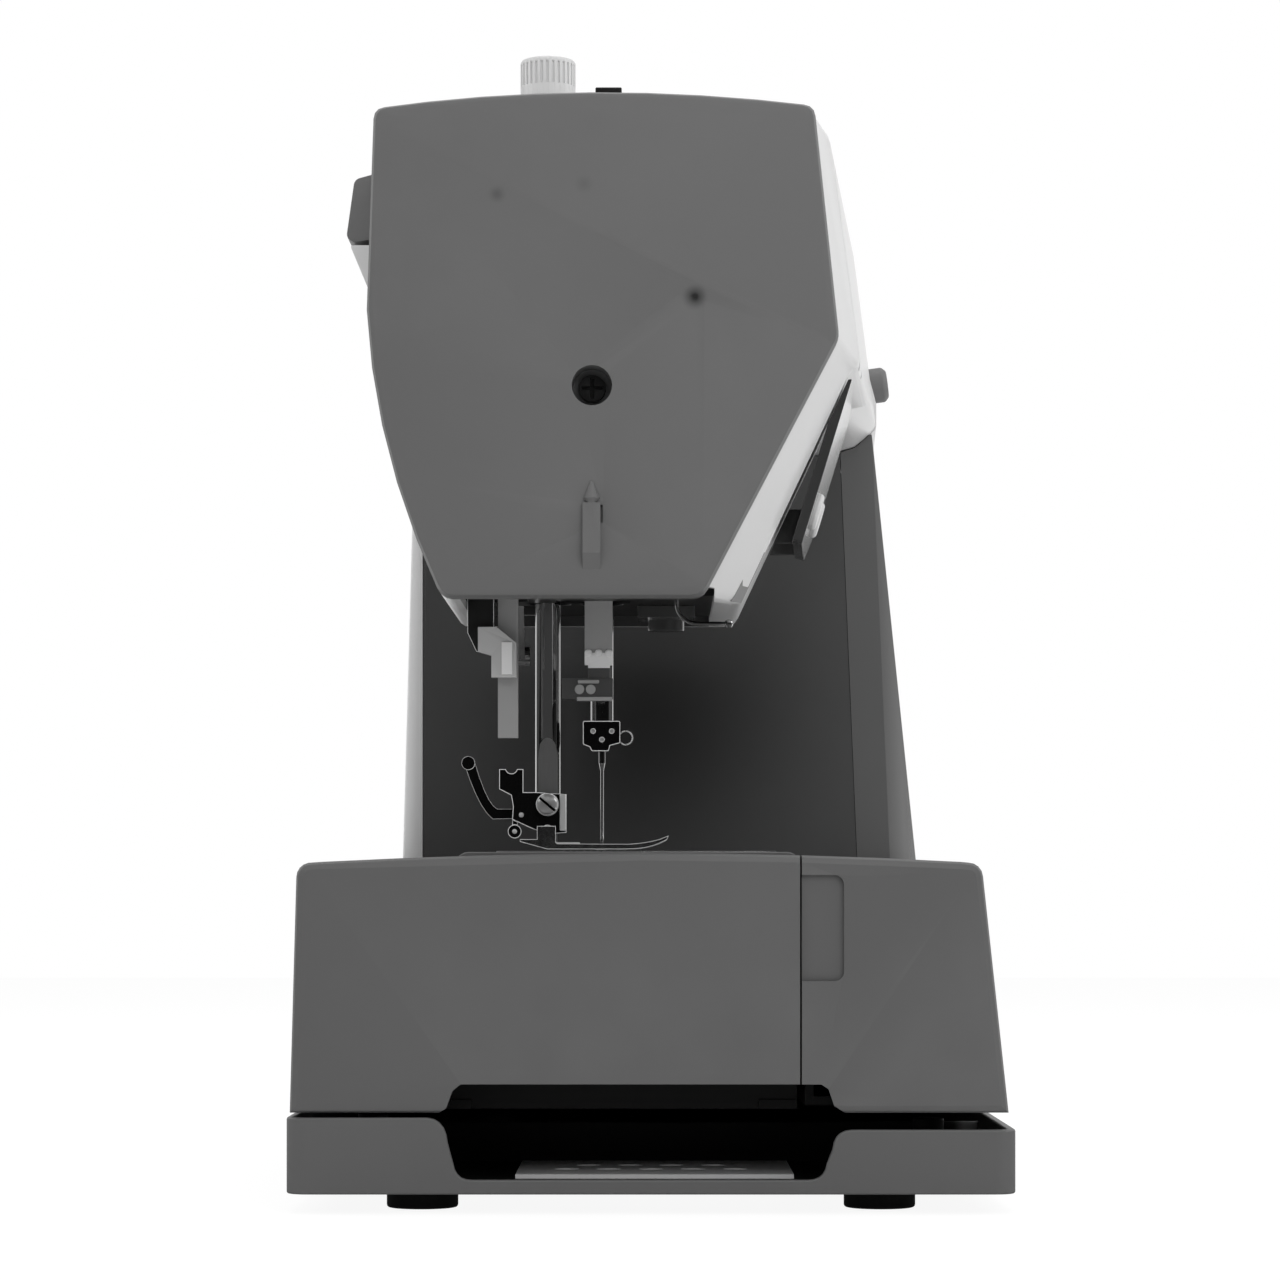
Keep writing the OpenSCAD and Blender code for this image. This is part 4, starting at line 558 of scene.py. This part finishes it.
# node: finish, width of the rounded edges in mm, record slot
dressing = {
    "face_cover": ("faceGrey", 0.35, "cover_grey"),
    "thread_cutter": ("faceGrey", 0.25, "cover_grey"),
    "accessory_tray": ("trayGrey", 0.5, "cover_grey"),
    "tray_lid": ("trayGrey", 0.4, "cover_grey"),
    "free_arm_shell": ("trayGrey", 0.4, "cover_grey"),
    "base_pan": ("baseGrey", 0.8, "base_grey"),
    "bed_housing": ("baseGrey", 0.6, "base_grey"),
    "front_cover": ("coverWhite", 0.5, "cover_white"),
    "rear_cover": ("coverWhite", 0.5, "cover_white"),
    "handwheel": ("coverWhite", 0.6, "cover_white"),
    "front_panel": ("cornerSheenBlack", 0.4, "panel_black"),
    "throat_panel": ("wallSheenBlack", 0.3, "panel_black"),
    "display_window": ("pillarBlack", 0.2, "panel_black"),
    "button_panel": ("panelGrey", 0.5, "trim_dark"),
    "face_screw": ("trimBlack", 0.15, "trim_dark"),
    "head_plate": ("trimBlack", 0.2, "trim_dark"),
    "top_guide": ("trimBlack", 0.4, "trim_dark"),
    "buttonhole_bracket": ("trimBlack", 0.0, "trim_dark"),
    "presser_ankle": ("blackChrome", 0.0, "trim_dark"),
    "release_lever": ("blackChrome", 0.0, "trim_dark"),
    "needle_clamp": ("blackChrome", 0.0, "trim_dark"),
    "bobbin_case": ("trimBlack", 0.2, "trim_dark"),
    "power_switch": ("trimBlack", 0.5, "trim_dark"),
    "power_inlet": ("trimBlack", 0.4, "trim_dark"),
    "carry_handle": ("handleGrey", 0.5, "cover_grey"),
    "stitch_dial": ("handleGrey", 0.5, "cover_grey"),
    "pressure_dial": ("dialPale", 0.12, "dial_grey"),
    "threader": ("leverPale", 0.3, "dial_grey"),
    "buttonhole_lever": ("leverPale", 0.4, "dial_grey"),
    "start_button": ("dialPale", 0.3, "dial_grey"),
    "reverse_button": ("dialPale", 0.3, "dial_grey"),
    "rubber_feet": ("rubberBlack", 0.8, "rubber"),
    "timing_belt": ("rubberBlack", 0.0, "rubber"),
    "motor_belt": ("rubberBlack", 0.0, "rubber"),
    "control_board": ("boardGreen", 0.0, "board_green"),
    "led_lamp": ("lampGlass", 0.4, "lamp"),
    "bed_frame": ("castDark", 0.4, "alloy"),
    "arm_frame": ("castAlloy", 0.4, "alloy"),
    "needle_bar": ("chromeBar", 0.3, "chrome"),
    "needle": ("chromeBar", 0.0, "chrome"),
    "presser_bar": ("chromeBar", 0.2, "chrome"),
    "presser_spring": ("polishedSteel", 0.0, "chrome"),
    "presser_foot": ("polishedSteel", 0.0, "chrome"),
    "take_up_lever": ("polishedSteel", 0.3, "chrome"),
    "lifter_lever": ("polishedSteel", 0.3, "chrome"),
    "thread_guide": ("chromeBar", 0.0, "chrome"),
    "spool_pin": ("polishedSteel", 0.3, "chrome"),
    "rotary_hook": ("polishedSteel", 0.2, "chrome"),
    "main_shaft": ("polishedSteel", 0.2, "chrome"),
    "lower_shaft": ("polishedSteel", 0.2, "chrome"),
    "motor_pulley": ("polishedSteel", 0.2, "steel"),
    "bottom_plate": ("sheenPalePlate", 0.15, "steel"),
    "needle_plate": ("brushedPlate", 0.15, "steel"),
    "feed_dog": ("brushedPlate", 0.0, "steel"),
    "tension_dial": ("leverPale", 0.2, "steel"),
    "drive_motor": ("castAlloy", 0.8, "steel"),
    "handle_pins": ("polishedSteel", 0.2, "steel"),
    "shaft_bushes": ("bushBronze", 0.2, "bronze"),
    "bobbin_cover": ("clearCover", 0.2, "clear"),
    "bobbin": ("clearCover", 0.2, "clear"),
}
# pieces whose faces towards the left end have a painted highlight round their rim, in place of a reflection on their
# rounded edges, and its width in mm
rimHighlightWidths = {
    "presser_ankle": 0.19,
    "release_lever": 0.09,
    "needle_clamp": 0.2,
    "presser_foot": 0.13,
    "buttonhole_bracket": 0.14,
}
bodyOf = {node: body for body, members in frame["record"]["behaviour"]["bodies"].items() for node in members}
flats = {"join": 0.000004, "turn": 0.6}  # metres between corners, and degrees between faces, that count as none
largeEdges = {"sharp": 32, "steps": 3, "even": True, "corner": "MITER_ARC"}  # edges sharper than this, in degrees
smallEdges = {"sharp": 35, "steps": 2, "even": False, "corner": "MITER_SHARP"}
towardsLeft = -0.9  # a face that looks at the left end has a normal below this along X


def makePiece(name, mesh, finish, width, edges):
    mesh.materials.append(finishes[finish])
    mesh.shade_smooth()
    mesh.set_sharp_from_angle(angle=math.radians(edges["sharp"]))
    piece = bpy.data.objects.new(name, mesh)
    bpy.context.collection.objects.link(piece)
    if width > 0:
        bevel = piece.modifiers.new("roundedEdges", "BEVEL")
        bevel.width = width * mm
        bevel.segments = edges["steps"]
        bevel.limit_method = "ANGLE"
        bevel.angle_limit = math.radians(edges["sharp"])
        bevel.harden_normals = edges["even"]
        bevel.miter_outer = edges["corner"]
    return piece


def joinFlats(mesh):
    # the triangles of a flat become one face again
    work = bmesh.new()
    work.from_mesh(mesh)
    bmesh.ops.remove_doubles(work, verts=work.verts, dist=flats["join"])
    bmesh.ops.dissolve_limit(work, angle_limit=math.radians(flats["turn"]), verts=work.verts, edges=work.edges)
    work.to_mesh(mesh)
    work.free()


def addRimHighlight(mesh, width):
    # a painted highlight on the rim round each flat that faces the left end
    mesh.materials.append(finishes["rimHighlight"])
    work = bmesh.new()
    work.from_mesh(mesh)
    work.normal_update()
    faces = [face for face in work.faces if face.normal.x < towardsLeft]
    litRims = bmesh.ops.inset_region(work, faces=faces, thickness=width * mm, use_boundary=True, use_even_offset=True)
    for face in litRims["faces"]:
        face.material_index = 1
    work.to_mesh(mesh)
    work.free()


def dress(node):
    finish, width, slot = dressing[node]
    mesh = nodes[node].data.copy()
    mesh.name = node + "_skin"
    mesh.materials.clear()
    joinFlats(mesh)
    piece = makePiece(mesh.name, mesh, finish, width, largeEdges)
    if node in rimHighlightWidths:
        addRimHighlight(mesh, rimHighlightWidths[node])
    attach(piece, bodyOf[node])
    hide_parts(node)
    return piece


skins = {node: dress(node) for node in dressing}
print("skins are made:", len(skins))


def cutAcross(node, height):
    # a level cut round the piece, so that a finish can start there
    mesh = skins[node].data
    work = bmesh.new()
    work.from_mesh(mesh)
    bmesh.ops.bisect_plane(work, geom=work.verts[:] + work.edges[:] + work.faces[:], plane_co=(0, 0, height * mm),
                           plane_no=(0, 0, 1))
    work.to_mesh(mesh)
    work.free()


def refinish(node, finish, test):
    # a second finish on the faces whose middle and normal pass the test
    mesh = skins[node].data
    mesh.materials.append(finishes[finish])
    for face in mesh.polygons:
        if test(face.center / mm, face.normal):
            face.material_index = len(mesh.materials) - 1


# the threader's pale end, between two levels, and the dark hook arm below it
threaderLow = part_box("threader")[0] / mm
threaderTip = {"from": threaderLow.z + 9.1, "to": threaderLow.z + 13.6, "front": threaderLow.x + 0.3}
for end in ("from", "to"):
    cutAcross("threader", threaderTip[end])
refinish("threader", "paleTab", lambda spot, normal: threaderTip["from"] < spot.z < threaderTip["to"])
refinish("threader", "hookGrey", lambda spot, normal: spot.z < threaderTip["from"] and spot.x > threaderTip["front"])

# painted shade: the insides of the white covers, over the open underside of the head, are dark
headEndShade = {"from": -64.0, "to": -50.0, "below": 215.0}
for node in ("front_cover", "rear_cover"):
    refinish(node, "castDark", lambda spot, normal: normal.x < towardsLeft and spot.z < headEndShade["below"]
             and headEndShade["from"] < spot.x < headEndShade["to"])

# the flat on the presser bar is ground, not plated
barFlat = {"below": 140.0, "square": 0.02}
refinish("presser_bar", "barGround", lambda spot, normal: spot.z < barFlat["below"] and normal.x < towardsLeft
         and abs(normal.y) < barFlat["square"])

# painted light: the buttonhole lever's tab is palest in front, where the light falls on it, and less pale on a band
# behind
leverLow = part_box("buttonhole_lever")[0] / mm
leverLitBands = {"front": leverLow.x + 0.6, "side": leverLow.x + 2.2}
refinish("buttonhole_lever", "tabHalfLit", lambda spot, normal: leverLitBands["front"] < spot.x < leverLitBands["side"])
refinish("buttonhole_lever", "paleTab", lambda spot, normal: spot.x < leverLitBands["front"])
print("second finishes are set")


def addPiece(name, work, finish, carrier, width=0.0):
    mesh = bpy.data.meshes.new(name)
    bmesh.ops.recalc_face_normals(work, faces=work.faces[:])
    work.to_mesh(mesh)
    work.free()
    piece = makePiece(name, mesh, finish, width, smallEdges)
    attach(piece, bodyOf[carrier])


domeRings = 5


def addDome(work, centre, radius, height, around):
    # a low dome that points to the left end of the machine
    x, y, z = centre
    rows = [[work.verts.new(inMetres(x - height, y, z))]]
    for ring in range(1, domeRings + 1):
        turn = math.radians(90 * ring / domeRings)
        size, out = radius * math.sin(turn), height * math.cos(turn)
        steps = [2 * math.pi * side / around for side in range(around)]
        rows.append([
            work.verts.new(inMetres(x - out, y + size * math.cos(step), z + size * math.sin(step))) for step in steps
        ])
    for side in range(around):
        after = (side + 1) % around
        work.faces.new((rows[0][0], rows[1][side], rows[1][after]))
        for inner, outer in zip(rows[1:], rows[2:]):
            work.faces.new((inner[side], outer[side], outer[after], inner[after]))
    work.faces.new(rows[-1])


def addBlock(work, low, high):
    verts = [work.verts.new(inMetres(x, y, z)) for x in (low[0], high[0]) for y in (low[1], high[1])
             for z in (low[2], high[2])]
    for face in ((0, 1, 3, 2), (4, 6, 7, 5), (0, 4, 5, 1), (2, 3, 7, 6), (0, 2, 6, 4), (1, 5, 7, 3)):
        work.faces.new([verts[corner] for corner in face])


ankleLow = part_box("presser_ankle")[0] / mm
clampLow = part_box("needle_clamp")[0] / mm
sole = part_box("presser_foot")[0].z / mm
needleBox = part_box("needle")
needleLine = (needleBox[0].y + needleBox[1].y) / 2 / mm
ankleScrew = {
    "x": ankleLow.x,
    "y": 30.5,  # the presser bar's middle
    "z": sole + 13.2,
    "radius": 3.1,
    "rise": 1.5,
    "slot": 0.95,
    "turn": 40,
    "around": 32,
}


def makeAnkleScrew():
    # domed head, with its slot left open between two halves
    work = bmesh.new()
    for side in (1, -1):
        half = bmesh.new()
        addDome(half, (0, 0, 0), ankleScrew["radius"], ankleScrew["rise"], ankleScrew["around"])
        bmesh.ops.bisect_plane(half, geom=half.verts[:] + half.edges[:] + half.faces[:],
                               plane_co=(0, 0, side * ankleScrew["slot"] / 2 * mm), plane_no=(0, 0, side),
                               clear_inner=True)
        rim = [edge for edge in half.edges if edge.is_boundary]
        bmesh.ops.contextual_create(half, geom=rim)
        bmesh.ops.recalc_face_normals(half, faces=half.faces[:])
        part = bpy.data.meshes.new("screwHalf")
        half.to_mesh(part)
        half.free()
        work.from_mesh(part)
    turn = math.radians(ankleScrew["turn"])
    for vert in work.verts:
        y, z = vert.co.y, vert.co.z
        vert.co = Vector((vert.co.x + ankleScrew["x"] * mm,
                          y * math.cos(turn) - z * math.sin(turn) + ankleScrew["y"] * mm,
                          y * math.sin(turn) + z * math.cos(turn) + ankleScrew["z"] * mm))
    addPiece("ankle_screw_head", work, "screwSteel", "presser_ankle")


# blocks and pin ends on the foot's clip, and the two lips that hold the threader's arm: X from the carrier's front
footBlocks = {
    "shank_edge": ((1.2, 25.0, 106.3), (6.0, 26.9, 117.1), 0.3),
    "clip_spring": ((1.0, 21.0, 102.35), (5.0, 30.0, 102.95), 0.15),
}
anklePins = {"rise": 0.4, "around": 16, "spots": (((2.6, 38.2, 111.0), 0.8), ((0.7, 40.1, 106.1), 0.75))}
threaderLips = {
    "round": 0.3,
    "blocks": (((-0.3, 15.2, 149.5), (2.0, 21.5, 150.6)), ((-0.3, 11.4, 144.4), (2.0, 21.8, 145.6))),
}
clampDots = {
    "x": clampLow.x + 0.75,
    "spots": ((-2.9, 5.9), (2.6, 5.9), (0.0, 3.4)),  # across from the needle, and up from the clamp's lower end
    "radius": 0.62,
    "rise": 0.35,
    "around": 14,
}
threaderGrips = {
    "x": threaderLow.x + 0.55,
    "z": threaderTip["to"] - 0.1,
    "across": (-2.1, 0.9, 3.9),
    "radius": 1.15,
    "rise": 0.5,
    "around": 16,
}


def behind(front, spot):
    return (front.x + spot[0], spot[1], spot[2])


def makeFootBits():
    # bright edge of the shank plate, the clip spring under it, and two pin ends
    for name, (low, high, width) in footBlocks.items():
        work = bmesh.new()
        addBlock(work, behind(ankleLow, low), behind(ankleLow, high))
        addPiece(name, work, "satinSteel", "presser_ankle", width)
    pins = bmesh.new()
    for spot, radius in anklePins["spots"]:
        addDome(pins, behind(ankleLow, spot), radius, anklePins["rise"], anklePins["around"])
    addPiece("ankle_pins", pins, "satinSteel", "presser_ankle")


def makeThreaderLips():
    work = bmesh.new()
    for low, high in threaderLips["blocks"]:
        addBlock(work, behind(threaderLow, low), behind(threaderLow, high))
    addPiece("threader_lips", work, "leverPale", "threader", threaderLips["round"])


def makeClampDots():
    work = bmesh.new()
    for across, up in clampDots["spots"]:
        addDome(work, (clampDots["x"], needleLine + across, clampLow.z + up), clampDots["radius"], clampDots["rise"],
                clampDots["around"])
    addPiece("clamp_dots", work, "satinSteel", "needle_clamp")


def makeThreaderGrips():
    # three small grips on top of the pale end
    work = bmesh.new()
    for across in threaderGrips["across"]:
        addDome(work, (threaderGrips["x"], needleLine + across, threaderGrips["z"]), threaderGrips["radius"],
                threaderGrips["rise"], threaderGrips["around"])
    addPiece("threader_grips", work, "paleTab", "threader")


# the slanted flat of the nose: its edge at the face cover, and its edge behind the bevel
nose = {
    "faceLow": (-166.0, -14.6, 171.0),
    "faceHigh": (-166.0, -51.8, 241.8),
    "backLow": (-146.0, -25.8, 171.0),
    "backHigh": (-146.0, -57.1, 237.7),
    "strip": (0.006, 0.225, 0.74, 0.99),  # from and to upwards, from and to across
    "slots": ((0.235, 0.335, 0.62, 0.72), (0.215, 0.305, 0.80, 0.87)),
    "rim": 0.045,
    "proud": 0.1,  # the painted slot shades stand out twice as far, and their painted rim highlights three times
    "thick": 0.5,
}


def noseSpot(up, out):
    face = Vector(nose["faceLow"]).lerp(Vector(nose["faceHigh"]), up)
    back = Vector(nose["backLow"]).lerp(Vector(nose["backHigh"]), up)
    return face.lerp(back, out)


def addNosePatch(work, upFrom, upTo, outFrom, outTo, proud):
    corners = [noseSpot(up, out) for up, out in ((upFrom, outFrom), (upTo, outFrom), (upTo, outTo), (upFrom, outTo))]
    away = (corners[1] - corners[0]).cross(corners[3] - corners[0]).normalized()
    if away.y > 0:
        away.negate()
    front = [work.verts.new((corner + away * proud) * mm) for corner in corners]
    rear = [work.verts.new((corner - away * nose["thick"]) * mm) for corner in corners]
    work.faces.new(front)
    work.faces.new(rear[::-1])
    for here in range(4):
        after = (here + 1) % 4
        work.faces.new((front[here], rear[here], rear[after], front[after]))


def makeNoseDetails():
    # the slots are dark patches of painted shade, and their far rims painted highlights
    strip, slots, litRims = bmesh.new(), bmesh.new(), bmesh.new()
    addNosePatch(strip, *nose["strip"], nose["proud"])
    for low, high, near, far in nose["slots"]:
        addNosePatch(slots, low, high, near, far, 2 * nose["proud"])
        addNosePatch(litRims, low, high, far, far + nose["rim"], 3 * nose["proud"])
    addPiece("nose_strip", strip, "noseRough", "front_cover")
    addPiece("nose_slots", slots, "trimBlack", "front_cover")
    addPiece("nose_slot_lit_rims", litRims, "satinSteel", "front_cover")


makeAnkleScrew()
makeFootBits()
makeThreaderLips()
makeClampDots()
makeNoseDetails()
makeThreaderGrips()
print("small pieces are made")

bpy.context.scene.view_settings.view_transform = "Standard"
